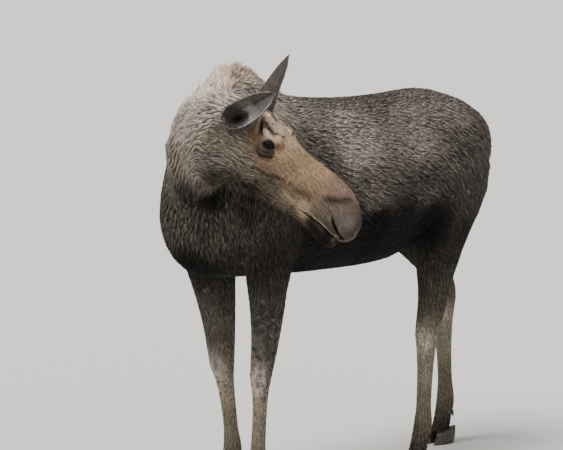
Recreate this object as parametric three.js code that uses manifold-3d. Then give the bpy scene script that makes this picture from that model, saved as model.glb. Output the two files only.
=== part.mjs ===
// A cow moose standing still with her head turned back over her left side, as a life-size
// museum model. Millimetres, +Z up. She faces -Y, and her left side is +X.
//
// The flesh is modelled whole: lofts for the trunk, neck, head and legs are joined, and the
// one body is then parted with thin cuts where a person would name its parts.
import * as THREE from "three";
import { LoftGeometry } from "three/addons/geometries/LoftGeometry.js";
import { mergeVertices } from "three/addons/utils/BufferGeometryUtils.js";
import Module from "manifold-3d";

const wasm = await Module();
wasm.setup();

// ---------------------------------------------------------------- driving dimensions
const GAP = 0.4; // left by every cut between two parts
const WITHERS = 1830; // top of the shoulder hump, coat included
const SHOULDER_Y = -560; // the forelegs' own line
const HIP_Y = 640; // the hind legs' own line
const CORONET = 62; // height of the middle of the coronet, where hair ends and horn begins
const EYE_RADIUS = 26;
const LEFT = 1;
const RIGHT = -1;

// The head's own frame: its origin is the poll, between the ears. It faces -Y there too.
const HEAD = { poll: [474, -958, 1743], turn: 100, nod: 42, tilt: 7.5, scale: 0.96 };

// ---------------------------------------------------------------- materials
const finish = (color, roughness) =>
  new THREE.MeshStandardMaterial({ color, roughness, metalness: 0 });
const COAT = finish(0x4a423c, 0.9);
const MANE = finish(0x7d7167, 0.9);
const FACE = finish(0x8f7761, 0.85);
const LEG = finish(0x4f463f, 0.85);
const EAR = finish(0x595352, 0.85);
const HORN = finish(0x2a2522, 0.5);
const EYE = finish(0x120c08, 0.1);

// ---------------------------------------------------------------- solids and cuts
const vector = (list) => new THREE.Vector3(...list);
const radians = THREE.MathUtils.degToRad;
const smooth = (value, from, to) => THREE.MathUtils.smoothstep(value, from, to);

/** A closed geometry as a manifold solid. */
function solid(geometry) {
  const shape = new THREE.BufferGeometry().copy(geometry);
  shape.deleteAttribute("normal");
  shape.deleteAttribute("uv");
  const merged = mergeVertices(shape, 1e-3);
  return new wasm.Manifold(
    new wasm.Mesh({
      numProp: 3,
      vertProperties: merged.attributes.position.array,
      triVerts: new Uint32Array(merged.index.array),
    }),
  );
}

/** A manifold solid as a geometry, in flat facets. */
function geometryOf(body) {
  const { vertProperties, triVerts, numProp, numVert } = body.getMesh();
  const position = new Float32Array(numVert * 3);
  for (let i = 0; i < numVert; i++) {
    position.set(vertProperties.subarray(i * numProp, i * numProp + 3), i * 3);
  }
  const geometry = new THREE.BufferGeometry();
  geometry.setAttribute("position", new THREE.BufferAttribute(position, 3));
  geometry.setIndex(new THREE.BufferAttribute(triVerts, 1));
  return geometry.toNonIndexed();
}

/** The largest single body of a solid: a cut can leave crumbs, which are dropped. */
function largest(body) {
  return body.decompose().reduce((a, b) => (a.volume() > b.volume() ? a : b));
}

/** Parts body by a region: gives what is inside it, and what is left outside a thin gap. */
function part(body, region) {
  return [largest(body.intersect(region(0))), largest(body.subtract(region(GAP)))];
}

/**
 * A region in the shape of a box. The middle of the face that cuts is `at`, and the box reaches
 * size[2] from there along `heading`, size[0] wide and size[1] deep. It grows on every side.
 */
const beyond = (at, heading, size, frame = new THREE.Matrix4()) => (grow) => {
  const [wide, deep, long] = size.map((length) => length + 2 * grow);
  const box = new THREE.BoxGeometry(wide, deep, long);
  box.translate(0, 0, long / 2 - grow);
  const up = new THREE.Vector3(0, 0, 1);
  box.applyQuaternion(
    new THREE.Quaternion().setFromUnitVectors(up, vector(heading).normalize()),
  );
  box.translate(...at);
  box.applyMatrix4(frame);
  return solid(box);
};

/** A ball stretched to the given half sizes. */
function lump(at, [x, y, z], [around, along] = [10, 8]) {
  const ball = new THREE.SphereGeometry(1, around, along);
  ball.scale(x, y, z);
  ball.translate(...at);
  return solid(ball);
}

// ---------------------------------------------------------------- lofts
/**
 * One cross section. It reaches `half` to each side of its centre, `up` above it and `down`
 * below it. crown and keel scale its width near the top and near the bottom.
 */
const section = (at, half, up, down, crown = 1, keel = 1) => ({
  at: vector(at),
  size: new THREE.Vector3(half, up, down),
  shape: new THREE.Vector3(crown, keel, 0),
});

/** A smooth closed body through the sections. Its rings are parallel where a heading is given. */
function loft(sections, { rings, sides, top = [0, 0, 1], heading = null }) {
  const spine = new THREE.CatmullRomCurve3(sections.map((s) => s.at));
  const sizes = new THREE.CatmullRomCurve3(sections.map((s) => s.size));
  const shapes = new THREE.CatmullRomCurve3(sections.map((s) => s.shape));
  const loops = [];
  for (let i = 0; i <= rings; i++) {
    const t = i / rings;
    const centre = spine.getPoint(t);
    const size = sizes.getPoint(t);
    const shape = shapes.getPoint(t);
    const ahead = heading ? vector(heading) : spine.getTangent(t);
    const side = vector(top).cross(ahead).normalize();
    const upward = ahead.clone().cross(side).normalize();
    const loop = [];
    for (let j = 0; j < sides; j++) {
      const angle = (j / sides) * 2 * Math.PI;
      const rise = Math.sin(angle);
      const pinch = rise > 0 ? shape.x : shape.y;
      const width = size.x * Math.cos(angle) * (1 + (pinch - 1) * rise * rise);
      const height = rise * (rise > 0 ? size.y : size.z);
      loop.push(
        centre.clone().addScaledVector(side, width).addScaledVector(upward, height),
      );
    }
    loops.push(loop);
  }
  return new LoftGeometry(loops, { capStart: true, capEnd: true });
}

// ---------------------------------------------------------------- trunk, neck and tail
/** The trunk from the breast to the rump. Each row: y, top, bottom, half width, crown, keel. */
function trunk() {
  const rows = [
    [-884, 1345, 1150, 72, 1, 1],
    [-860, 1440, 1062, 138, 0.95, 1],
    [-785, 1600, 990, 206, 0.85, 0.85],
    [-680, WITHERS - 28, 966, 242, 0.57, 0.82],
    [-560, WITHERS, 960, 252, 0.52, 0.9],
    [-430, WITHERS - 60, 952, 262, 0.6, 0.9],
    [-280, WITHERS - 140, 942, 275, 0.75, 0.95],
    [-100, WITHERS - 164, 934, 290, 0.85, 1],
    [90, WITHERS - 176, 928, 298, 0.85, 1],
    [270, WITHERS - 178, 932, 292, 0.8, 1],
    [430, WITHERS - 172, 964, 275, 0.75, 1],
    [560, WITHERS - 168, 1026, 260, 0.8, 1],
    [690, WITHERS - 184, 1090, 250, 0.95, 0.95],
    [800, WITHERS - 218, 1150, 232, 1.1, 0.9],
    [902, WITHERS - 270, 1255, 184, 1.15, 0.85],
    [960, WITHERS - 348, 1358, 94, 1.1, 1],
  ];
  const sections = rows.map(([y, high, low, half, crown, keel]) => {
    const middle = low + (high - low) * 0.45;
    return section([0, y, middle], half, high - middle, middle - low, crown, keel);
  });
  return solid(loft(sections, { rings: 23, sides: 20, heading: [0, 1, 0] }));
}

/** The neck, which leaves the shoulders forwards and bends round to her left. */
function neck() {
  const sections = [
    section([0, -540, 1440], 160, 290, 290, 0.6, 0.8),
    section([0, -680, 1475], 164, 300, 285, 0.52, 0.8),
    section([40, -805, 1525], 146, 250, 252, 0.38, 0.8),
    section([150, -893, 1570], 114, 204, 214, 0.48, 0.8),
    section([285, -960, 1605], 116, 175, 196, 0.75, 0.8),
    section([410, -985, 1630], 100, 135, 160, 0.85, 0.8),
  ];
  return solid(loft(sections, { rings: 12, sides: 18 }));
}

/** The short tail, which hangs down against the rump. */
function tail() {
  const sections = [
    section([0, 880, 1450], 36, 26, 26),
    section([0, 946, 1436], 38, 27, 27),
    section([0, 984, 1388], 38, 26, 26),
    section([0, 990, 1334], 30, 20, 20),
    section([0, 984, 1296], 12, 9, 9),
  ];
  return solid(loft(sections, { rings: 7, sides: 8, top: [0, 1, 0] }));
}

// ---------------------------------------------------------------- legs
// Each row: height, centre x, centre y, half width, reach forwards, reach back.
const FORE_ROWS = [
  [1640, 95, SHOULDER_Y + 40, 40, 70, 70],
  [1540, 135, SHOULDER_Y + 10, 75, 130, 120],
  [1400, 168, SHOULDER_Y - 20, 102, 185, 165],
  [1260, 178, SHOULDER_Y - 25, 112, 185, 178],
  [1140, 174, SHOULDER_Y, 104, 150, 162],
  [1040, 168, SHOULDER_Y + 12, 90, 116, 126],
  [940, 162, SHOULDER_Y + 18, 76, 92, 98],
  [840, 159, SHOULDER_Y + 25, 66, 78, 80],
  [740, 156, SHOULDER_Y + 25, 56, 66, 66],
  [640, 154, SHOULDER_Y + 17, 48, 57, 56],
  [565, 152, SHOULDER_Y + 10, 43, 52, 46],
  [505, 151, SHOULDER_Y + 12, 33, 37, 35],
  [430, 150, SHOULDER_Y + 13, 28, 30, 32],
  [300, 149, SHOULDER_Y + 12, 28, 29, 34],
  [215, 148, SHOULDER_Y + 10, 35, 39, 46],
  [165, 148, SHOULDER_Y + 2, 38, 43, 48],
  [110, 148, SHOULDER_Y - 18, 37, 44, 42],
  [CORONET - 30, 148, SHOULDER_Y - 45, 46, 60, 50],
];
const HIND_ROWS = [
  [1560, 90, HIP_Y, 40, 60, 60],
  [1490, 128, HIP_Y, 86, 150, 150],
  [1370, 168, HIP_Y, 116, 225, 225],
  [1240, 178, HIP_Y - 5, 120, 240, 208],
  [1120, 174, HIP_Y - 10, 112, 215, 170],
  [1010, 168, HIP_Y + 15, 94, 165, 132],
  [905, 163, HIP_Y + 62, 74, 118, 118],
  [820, 159, HIP_Y + 105, 57, 92, 100],
  [745, 157, HIP_Y + 135, 48, 76, 92],
  [680, 156, HIP_Y + 148, 45, 70, 88],
  [610, 155, HIP_Y + 150, 44, 64, 66],
  [540, 154, HIP_Y + 148, 38, 50, 50],
  [430, 152, HIP_Y + 143, 31, 38, 40],
  [300, 150, HIP_Y + 138, 30, 35, 38],
  [215, 149, HIP_Y + 134, 36, 42, 48],
  [165, 149, HIP_Y + 126, 39, 45, 50],
  [110, 149, HIP_Y + 106, 37, 44, 42],
  [CORONET - 30, 149, HIP_Y + 80, 46, 60, 50],
];
// The left legs stand forward in the pose, and the right ones back. A leg moves ahead by `step`
// between its two heights. `cut` parts it from the trunk: y, height, depth and slope. `halves`
// is the height of the knee or the hock, where the leg itself is parted.
const LEGS = [
  {
    name: "foreleg_left", side: LEFT, rows: FORE_ROWS, bulk: 1,
    step: 60, heights: [1150, -250], cut: [SHOULDER_Y, 1028, 330, 0], halves: 565,
  },
  {
    name: "foreleg_right", side: RIGHT, rows: FORE_ROWS, bulk: 1.14,
    step: -140, heights: [1180, -20], cut: [SHOULDER_Y + 40, 1028, 350, 0], halves: 560,
  },
  {
    name: "hindleg_left", side: LEFT, rows: HIND_ROWS, bulk: 1,
    step: 300, heights: [1230, 590], cut: [HIP_Y - 10, 1100, 640, 0.45], halves: 600,
  },
  {
    name: "hindleg_right", side: RIGHT, rows: HIND_ROWS, bulk: 1, trail: 50,
    step: -195, heights: [1200, 680], cut: [HIP_Y + 140, 1168, 760, 0.45], halves: 600,
  },
];

const HOCK = 620; // height of the hock's middle

/** How far ahead of its plain stance a leg is at a height. A trailing foot slopes back. */
const ahead = ({ step, heights: [from, to], trail = 0 }, z) =>
  step * (1 - smooth(z, to, from)) - trail * Math.max(0, 1 - z / HOCK);

/** One leg from inside the trunk down to the coronet. */
function leg(limb) {
  const sections = limb.rows.map(([z, x, y, half, front, back]) => {
    const share = smooth(z, 250, 500) * (1 - smooth(z, 1000, 1200));
    const bulk = THREE.MathUtils.lerp(1, limb.bulk, share);
    const at = [limb.side * x, y - ahead(limb, z), z];
    return section(at, half * bulk, front * bulk, back * bulk);
  });
  return solid(
    loft(sections, { rings: 22, sides: 12, top: [0, -1, 0], heading: [0, 0, -1] }),
  );
}

/** The region of a leg: an upright column under a cut that slopes down inwards and forwards. */
const legRegion = ({ side, cut: [y, z, deep, rise] }) => (grow) => {
  const slope = beyond([side * 150, y, z], [side, rise, -1], [2500, 2500, 2500])(grow);
  const column = beyond([side * 220, y, z + 300], [0, 0, -1], [400, deep, 2000]);
  return slope.intersect(column(grow));
};

/** The slanted region of horn below the coronet, which is higher in front. */
const hornRegion = (limb, y) =>
  beyond([limb.side * 148, y, CORONET], [0, 0.22, -1], [240, 320, 150]);

/** One of the two claws of a hoof, pointed in front, flat underneath. */
function claw(x, y, outward) {
  const LENGTH = 66; // half its length
  const WIDTH = 26; // half its width
  const POINTS = 10;
  const loops = [CORONET + 24, 34, 0].map((z, i) => {
    const size = [0.8, 0.95, 1][i];
    const forward = [22, 6, -6][i];
    const loop = [];
    for (let j = 0; j < POINTS; j++) {
      const angle = (j / POINTS) * 2 * Math.PI;
      const taper = 1 - 0.42 * Math.max(0, Math.sin(angle));
      loop.push(
        new THREE.Vector3(
          x + WIDTH * size * Math.cos(angle) * taper - outward * 5 * Math.sin(angle),
          y + forward - LENGTH * size * Math.sin(angle),
          z,
        ),
      );
    }
    return loop;
  });
  return solid(new LoftGeometry(loops, { capStart: true, capEnd: true }));
}

/** A dewclaw: a small cone of horn that points down behind the pastern. */
function dewclaw(x, y, grow) {
  const horn = new THREE.ConeGeometry(14 + grow, 46 + 3 * grow, 7, 1);
  horn.rotateX(-1.05);
  horn.translate(x, y, 122);
  return solid(horn);
}

// ---------------------------------------------------------------- head
/** Each row: distance from the poll along the face, top, bottom, half width, crown, keel. */
function headLoft(rows, rings, sides) {
  const sections = rows.map(([reach, high, low, half, crown, keel]) => {
    const middle = (high + low) / 2;
    return section([0, -reach, middle], half, high - middle, middle - low, crown, keel);
  });
  return solid(loft(sections, { rings, sides, heading: [0, -1, 0] }));
}

const EYE_AT = [78, -199, -54]; // the left eye's centre

/** Skull, face and jaw in the head's own frame, with sockets for the eyes. */
function head() {
  const skull = headLoft(
    [
      [-75, -45, -225, 62, 0.9, 0.8],
      [-20, -8, -245, 84, 0.9, 0.8],
      [60, 12, -252, 92, 0.85, 0.8],
      [150, 20, -252, 94, 0.8, 0.8],
      [240, 16, -240, 84, 0.75, 0.8],
      [330, 20, -212, 70, 0.75, 0.85],
      [420, 38, -180, 65, 0.8, 0.95],
      [510, 51, -150, 69, 0.85, 1],
      [580, 44, -132, 73, 0.9, 1],
      [635, 18, -130, 68, 0.95, 1],
      [672, -20, -124, 52, 1, 1],
      [690, -60, -100, 20, 1, 1],
    ],
    21,
    16,
  );
  const jaw = headLoft(
    [
      [40, -140, -262, 50, 1, 0.8],
      [150, -130, -284, 58, 1, 0.75],
      [270, -120, -272, 52, 1, 0.75],
      [390, -110, -236, 43, 1, 0.85],
      [480, -105, -200, 39, 1, 0.95],
      [560, -110, -194, 43, 1, 1],
      [612, -118, -191, 43, 1, 1],
      [642, -125, -180, 32, 1, 1],
      [654, -140, -172, 14, 1, 1],
    ],
    12,
    12,
  );
  let made = skull.add(jaw);
  for (const side of [LEFT, RIGHT]) {
    made = made.add(lump([side * 64, -188, -40], [42, 66, 46])); // brow and orbit
    made = made.add(lump([side * 48, -150, -180], [42, 110, 80], [8, 6])); // cheek
    made = made.subtract(lump([side * 78, -632, -66], [24, 13, 30], [8, 6])); // nostril
    made = made.subtract(eyeball(side, EYE_RADIUS + GAP));
  }
  return made;
}

const eyeball = (side, radius) => lump([side * EYE_AT[0], EYE_AT[1], EYE_AT[2]],
  [radius, radius, radius]);

/** Ear: a cupped leaf of skin, rolled into a tube at its root, upright at the origin. */
function ear(length) {
  const WALL = 7;
  const STEPS = 8; // points across the outer face
  const rows = [
    // share of the length, radius, half the angle that the shell covers
    [-0.1, 34, 160],
    [0, 50, 140],
    [0.1, 57, 120],
    [0.26, 57, 103],
    [0.46, 53, 92],
    [0.66, 46, 84],
    [0.83, 34, 76],
    [0.94, 18, 70],
    [1, 5, 65],
  ];
  const loops = rows.map(([share, radius, cover]) => {
    const wall = Math.min(WALL, radius * 0.7);
    const flat = 1 - 0.25 * Math.max(0, share); // flatter towards its tip
    const loop = [];
    for (const [r, from, to] of [
      [radius, cover, -cover],
      [radius - wall, -cover, cover],
    ]) {
      for (let i = 0; i < STEPS; i++) {
        const angle = radians(from + ((to - from) * i) / (STEPS - 1));
        const x = -r * Math.cos(angle) * flat + radius * 0.35 * share;
        loop.push(new THREE.Vector3(x, r * Math.sin(angle), share * length));
      }
    }
    return loop;
  });
  return new LoftGeometry(loops, { capStart: true, capEnd: true });
}

// An ear's mouth is turned `spin` degrees forwards from straight out to its side.
const EARS = {
  left: { side: LEFT, axis: [45, 94, 249], spin: 45, length: 268, root: [75, -30, -50] },
  right: { side: RIGHT, axis: [-55, -79, 218], spin: 0, length: 258, root: [-90, -14, -103] },
};

/** The frame of an ear in the head: Z runs along the ear, X out of its mouth. */
function earFrame({ side, axis, spin, root }) {
  const up = vector(axis).normalize();
  const angle = radians(spin);
  const out = new THREE.Vector3(side * Math.cos(angle), -Math.sin(angle), 0);
  out.addScaledVector(up, -out.dot(up)).normalize();
  const across = up.clone().cross(out);
  return new THREE.Matrix4().makeBasis(out, across, up).setPosition(...root);
}

const headFrame = new THREE.Matrix4().compose(
  vector(HEAD.poll),
  new THREE.Quaternion().setFromEuler(
    new THREE.Euler(radians(HEAD.nod), radians(HEAD.tilt), radians(HEAD.turn), "ZXY"),
  ),
  new THREE.Vector3(HEAD.scale, HEAD.scale, HEAD.scale),
);
const inHead = (body) => body.transform(headFrame.elements);

// ---------------------------------------------------------------- the body, joined
let flesh = trunk().add(neck()).add(tail()).add(inHead(head()));
for (const shape of Object.values(EARS)) {
  shape.frame = headFrame.clone().multiply(earFrame(shape));
  flesh = flesh.add(solid(ear(shape.length)).transform(shape.frame.elements));
}
for (const limb of LEGS) {
  flesh = flesh.add(leg(limb));
}

// ---------------------------------------------------------------- the parts
const moose = new THREE.Group();

/** Adds a solid to the moose as a named mesh. */
function show(name, body, material) {
  const mesh = new THREE.Mesh(geometryOf(body), material);
  mesh.name = name;
  moose.add(mesh);
}

/** Cuts a region off the flesh and shows it under its name. */
function cutOff(name, region, material) {
  const [off, left] = part(flesh, region);
  flesh = left;
  show(name, off, material);
}

for (const [side, { frame }] of Object.entries(EARS)) {
  cutOff(`ear_${side}`, beyond([0, 0, 52], [0.6, 0, 0.8], [420, 140, 400], frame), EAR);
}
cutOff("lower_jaw", beyond([0, -380, -163], [0, -0.13, -1], [240, 580, 200], headFrame), FACE);
cutOff("head", beyond([0, 30, -120], [0, -1, 0.1], [420, 520, 800], headFrame), FACE);
cutOff("neck", beyond([0, -811, 1515], [0, -0.967, 0.254], [1400, 1100, 700]), MANE);
cutOff("tail", beyond([0, 970, 1350], [0, 1, 0], [120, 300, 120]), COAT);
for (const side of ["left", "right"]) {
  const eye = eyeball(side === "left" ? LEFT : RIGHT, EYE_RADIUS);
  show(`eye_${side}`, inHead(eye), EYE);
}

for (const limb of LEGS) {
  const { name, side, rows, halves } = limb;
  const [, x, y] = rows[rows.length - 1];
  const footY = y - ahead(limb, CORONET);
  const footX = side * x;
  let [lower, body] = part(flesh, legRegion(limb));
  flesh = body;
  lower = largest(lower.subtract(hornRegion(limb, footY)(GAP)));
  for (const [place, across] of [["outer", side], ["inner", -side]]) {
    const horn = claw(footX + across * 31, footY, across).intersect(hornRegion(limb, footY)(0));
    show(`${name}_claw_${place}`, largest(horn), HORN);
    const at = [footX + across * 20, footY + 74];
    lower = largest(lower.subtract(dewclaw(...at, GAP)));
    show(`${name}_dewclaw_${place}`, dewclaw(...at, 0), HORN);
  }
  const [shin, thigh] = part(lower, beyond([0, footY, halves], [0, 0, -1], [900, 700, 700]));
  show(`${name}_upper`, thigh, LEG);
  show(`${name}_lower`, shin, LEG);
}
show("trunk", flesh, COAT);

// The origin is under the middle of her, on the floor.
const box = new THREE.Box3().setFromObject(moose);
const middle = box.getCenter(new THREE.Vector3());
moose.position.set(-middle.x, -middle.y, -box.min.z);

export default moose;
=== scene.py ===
"""A cow moose, standing with her head turned back, as a life-size museum model.

Metres, +Z up. She faces -Y and her left side is +X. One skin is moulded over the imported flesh
and sculpted, its coat is laid on it in tufts that follow the lie of the hair, and the eyes and
the horn of the feet are pieces of their own. Places on the body and on the head are given in
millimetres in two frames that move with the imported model.
"""

import logging
import math
from dataclasses import dataclass, field
from enum import Enum
from functools import cache

import bpy
import numpy as np
from mathutils import Matrix, Vector


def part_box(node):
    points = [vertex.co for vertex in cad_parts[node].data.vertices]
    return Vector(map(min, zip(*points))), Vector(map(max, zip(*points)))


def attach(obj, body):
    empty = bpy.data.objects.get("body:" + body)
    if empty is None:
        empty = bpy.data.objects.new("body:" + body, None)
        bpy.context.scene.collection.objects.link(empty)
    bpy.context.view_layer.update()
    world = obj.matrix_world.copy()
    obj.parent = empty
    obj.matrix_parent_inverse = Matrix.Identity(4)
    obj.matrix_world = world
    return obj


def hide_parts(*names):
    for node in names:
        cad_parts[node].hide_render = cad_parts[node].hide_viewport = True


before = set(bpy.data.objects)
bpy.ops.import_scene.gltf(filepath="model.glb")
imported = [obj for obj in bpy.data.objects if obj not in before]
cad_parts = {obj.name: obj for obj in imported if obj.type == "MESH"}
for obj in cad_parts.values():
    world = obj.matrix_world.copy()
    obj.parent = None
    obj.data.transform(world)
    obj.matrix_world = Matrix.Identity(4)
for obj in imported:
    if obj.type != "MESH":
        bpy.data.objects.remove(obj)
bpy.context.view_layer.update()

log = logging.getLogger("moose")
Array = np.ndarray
Piece = bpy.types.Object
Socket = bpy.types.NodeSocket
MM = 0.001


# ---- small helpers
def srgb(code: str) -> Array:
    """Turns a hex colour such as "8a7f70" into linear red, green and blue."""
    part = np.array([int(code[i : i + 2], 16) / 255 for i in (0, 2, 4)])
    return np.where(part <= 0.04045, part / 12.92, ((part + 0.055) / 1.055) ** 2.4)


def blend(colour: Array, other: str | Array, share: Array) -> Array:
    """Draws colours towards another colour by a share at each place."""
    other = srgb(other) if isinstance(other, str) else other
    return colour + (other - colour) * share[:, None]


def smooth(value: Array, low: float, high: float) -> Array:
    """Rises smoothly from 0 at low to 1 at high."""
    share = np.clip((value - low) / (high - low), 0.0, 1.0)
    return share * share * (3 - 2 * share)


def unit(ways: Array) -> Array:
    """Gives each row the length 1."""
    return ways / np.maximum(np.linalg.norm(ways, axis=-1, keepdims=True), 1e-9)


def only(piece: Piece) -> None:
    """Makes a piece the one selected and active object."""
    bpy.ops.object.select_all(action="DESELECT")
    piece.select_set(True)
    bpy.context.view_layer.objects.active = piece


def modify(piece: Piece, kind: str, **settings: object) -> None:
    """Adds a modifier with its settings to a piece and applies it."""
    only(piece)
    modifier = piece.modifiers.new(kind, kind)
    for name, value in settings.items():
        setattr(modifier, name, value)
    bpy.ops.object.modifier_apply(modifier=modifier.name)


def edit(piece: Piece, chosen: Array | None = None) -> None:
    """Opens a piece in edit mode with all its vertices selected, or the chosen ones."""
    only(piece)
    chosen = np.ones(len(piece.data.vertices), bool) if chosen is None else chosen
    for parts in (piece.data.polygons, piece.data.edges):
        parts.foreach_set("select", np.zeros(len(parts), bool))
    piece.data.vertices.foreach_set("select", chosen)
    bpy.ops.object.mode_set(mode="EDIT")
    bpy.context.tool_settings.mesh_select_mode = (True, False, False)
    bpy.ops.mesh.select_mode(type="VERT")


def done() -> None:
    """Leaves edit mode."""
    bpy.ops.object.mode_set(mode="OBJECT")


def pull(parts: bpy.types.bpy_prop_collection, name: str, width: int, kind: type = np.float32) -> Array:
    """Reads one property of all the parts of a mesh, a row for each."""
    found = np.empty(len(parts) * width, kind)
    parts.foreach_get(name, found)
    return found.reshape(-1, width)


def spots_of(piece: Piece) -> Array:
    """The places of a piece's vertices."""
    return pull(piece.data.vertices, "co", 3).astype(float)


def normals_of(piece: Piece) -> Array:
    """The normals at a piece's vertices."""
    return pull(piece.data.vertex_normals, "vector", 3).astype(float)


def plain_of(piece: Piece) -> Array:
    """Where the skin's vertices were before the face was sculpted: the charts are read there."""
    return pull(piece.data.attributes["plain"].data, "vector", 3).astype(float)


def put(piece: Piece, places: Array) -> None:
    """Moves a piece's vertices to these places."""
    piece.data.vertices.foreach_set("co", places.astype(np.float32).ravel())
    piece.data.update()


def paint(mesh: bpy.types.Mesh, name: str, values: Array) -> None:
    """Writes a colour, or a number, for each vertex under a name that the materials read."""
    if values.ndim == 1:
        layer = mesh.attributes.new(name, "FLOAT", "POINT")
        layer.data.foreach_set("value", values.astype(np.float32))
        return
    full = np.ones((len(values), 4), np.float32)
    full[:, :3] = values
    mesh.attributes.new(name, "FLOAT_COLOR", "POINT").data.foreach_set("color", full.ravel())


def ripple(places: Array, step: float, seed: int) -> Array:
    """A smooth random wave over the body, about -1 to 1, with crests about a step of metres apart."""
    random = np.random.default_rng(seed)
    total = np.zeros(len(places))
    for _ in range(7):
        way = unit(random.normal(size=3)) * random.uniform(0.7, 1.6) * 2 * np.pi / step
        total += np.sin(places @ way + random.uniform(0, 2 * np.pi))
    return total / 2.7


def add_node(
    tree: bpy.types.NodeTree, kind: str, links: dict[str, object] | None = None, **settings: object
) -> bpy.types.Node:
    """Adds a shader node.

    Args:
        tree: The material's node tree.
        kind: The node's type name.
        links: By input name, a value, or the output that feeds it.
        settings: The node's own settings.

    Returns:
        The new node.
    """
    node = tree.nodes.new(kind)
    for name, value in settings.items():
        setattr(node, name, value)
    for name, value in (links or {}).items():
        socket = next(s for s in node.inputs if s.identifier == name or s.name == name)
        if isinstance(value, Socket):
            tree.links.new(value, socket)
        else:
            socket.default_value = value
    return node


# ---- frames of reference
@dataclass(frozen=True)
class Axes:
    """A frame of reference for places in millimetres."""

    origin: Array
    turn: Array
    scale: float = 1.0

    def local(self, places: Array) -> Array:
        """World places, in metres, as places in this frame."""
        return (places - self.origin) @ self.turn / (self.scale * MM)

    def world(self, places: Array) -> Array:
        """Places in this frame as world places, in metres."""
        return np.asarray(places, float) @ self.turn.T * self.scale * MM + self.origin

    def way(self, ways: Array) -> Array:
        """Directions in this frame as world directions."""
        return np.asarray(ways, float) @ self.turn.T


@cache
def box_of(node: str) -> Array:
    """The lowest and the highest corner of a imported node."""
    return np.array([list(corner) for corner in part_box(node)])


def centre_of(node: str) -> Array:
    """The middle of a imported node's box."""
    return box_of(node).mean(0)


EYE_AT = np.array([78.0, -199.0, -54.0])  # the left eye's centre in the head's frame
BREAST_Y = -884.0  # the foremost point of the trunk in the body's frame
HEAD_TURN, HEAD_NOD, HEAD_TILT = 100, 42, 7.5  # degrees, from a level head that looks ahead
HEAD_SCALE = 0.96


def body_axes() -> Axes:
    """The body's frame: under the spine, with y 0 between the shoulders and the hips."""
    hind = centre_of("hindleg_left_claw_outer") + centre_of("hindleg_right_claw_outer")
    front = box_of("trunk")[0, 1]
    return Axes(np.array([hind[0] / 2, front - BREAST_Y * MM, 0.0]), np.eye(3))


def head_axes() -> Axes:
    """The head's frame: its origin is the poll, between the ears, and the face runs to -Y."""
    turn = Matrix.Identity(3)
    for degrees, axis in ((HEAD_TURN, "Z"), (HEAD_NOD, "X"), (HEAD_TILT, "Y")):
        turn = turn @ Matrix.Rotation(math.radians(degrees), 3, axis)
    turn = np.array(turn)
    eyes = (centre_of("eye_left") + centre_of("eye_right")) / 2
    between = EYE_AT * np.array([0, 1, 1])
    return Axes(eyes - turn @ between * HEAD_SCALE * MM, turn, HEAD_SCALE)


BODY = body_axes()
HEAD = head_axes()


@dataclass(frozen=True)
class Ear:
    """An ear: a cupped leaf with a frame of its own in the head.

    Z runs along the ear and X out of its mouth, which is turned forwards by spin degrees.
    """

    side: int
    axis: tuple[float, float, float]
    root: tuple[float, float, float]
    length: float
    spin: float
    shares: tuple[float, ...] = (-0.1, 0.0, 0.1, 0.26, 0.46, 0.66, 0.83, 0.94, 1.0)
    radii: tuple[float, ...] = (34, 50, 57, 57, 53, 46, 34, 18, 5)

    def axes(self) -> Axes:
        """The ear's own frame."""
        up, spin = unit(np.array(self.axis)), math.radians(self.spin)
        out = np.array([self.side * math.cos(spin), -math.sin(spin), 0.0])
        out = unit(out - up * (out @ up))
        turn = np.stack([out, np.cross(up, out), up], 1)
        return Axes(HEAD.world(np.array(self.root)), HEAD.turn @ turn, HEAD.scale)

    def polar(self, local: Array) -> tuple[Array, Array, Array, Array]:
        """Places in the ear's frame, seen from its axis.

        Args:
            local: The places.

        Returns:
            The share of the ear's length, the distance from its axis, the cup's own radius
            there, and the direction away from the axis.
        """
        share = local[:, 2] / self.length
        radius = np.interp(share, self.shares, self.radii)
        off = local * (1, 1, 0)
        off[:, 0] -= 0.35 * radius * np.clip(share, 0, 1)
        return share, np.linalg.norm(off, axis=1), radius, unit(off)

    def holds(self, places: Array) -> Array:
        """How much world places belong to the ear, from 0 to 1."""
        local = self.axes().local(places)
        _, off, radius, _ = self.polar(local)
        return (1 - smooth(off - radius, 5, 13)) * smooth(local[:, 2], -36, -16)

    def hollowed(self, places: Array) -> Array:
        """Presses the floor of the cup in, so that it ends in a dark hollow."""
        local = self.axes().local(places)
        share, off, radius, _ = self.polar(local)
        spread = (local[:, 1] / 34) ** 2 + ((share - 0.12) * self.length / 36) ** 2
        deep = 32 * np.exp(-spread) * (1 - smooth(off - radius, -18, -8))
        deep[(share < -0.2) | (share > 0.6)] = 0
        return places - self.axes().way([1.0, 0.0, 0.0]) * (deep * HEAD.scale * MM)[:, None]


EARS = (
    Ear(1, (45, 94, 249), (75, -30, -50), 268, 45),
    Ear(-1, (-55, -79, 218), (-90, -14, -103), 258, 0),
)


# ---- sculpting strokes
@dataclass(frozen=True)
class Stroke:
    """A ridge, or a groove, pressed into the skin along a line of places."""

    name: str
    line: tuple[tuple[float, float, float], ...]
    width: float
    rise: float
    both: bool = True

    def lines(self) -> list[Array]:
        """The line, and its mirror image where the stroke is on both sides."""
        line = np.array(self.line, float)
        return [line, line * (-1, 1, 1)] if self.both else [line]


def line_of(text: str) -> tuple[tuple[float, ...], ...]:
    """Reads places such as "1 2 3, 4 5 6"."""
    return tuple(tuple(float(part) for part in place.split()) for place in text.split(","))


def columns_of(table: str) -> list[list[str]]:
    """Splits the rows of a table at the bars, without its comments."""
    return [row.split("|") for row in table.splitlines() if "|" in row]


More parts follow.
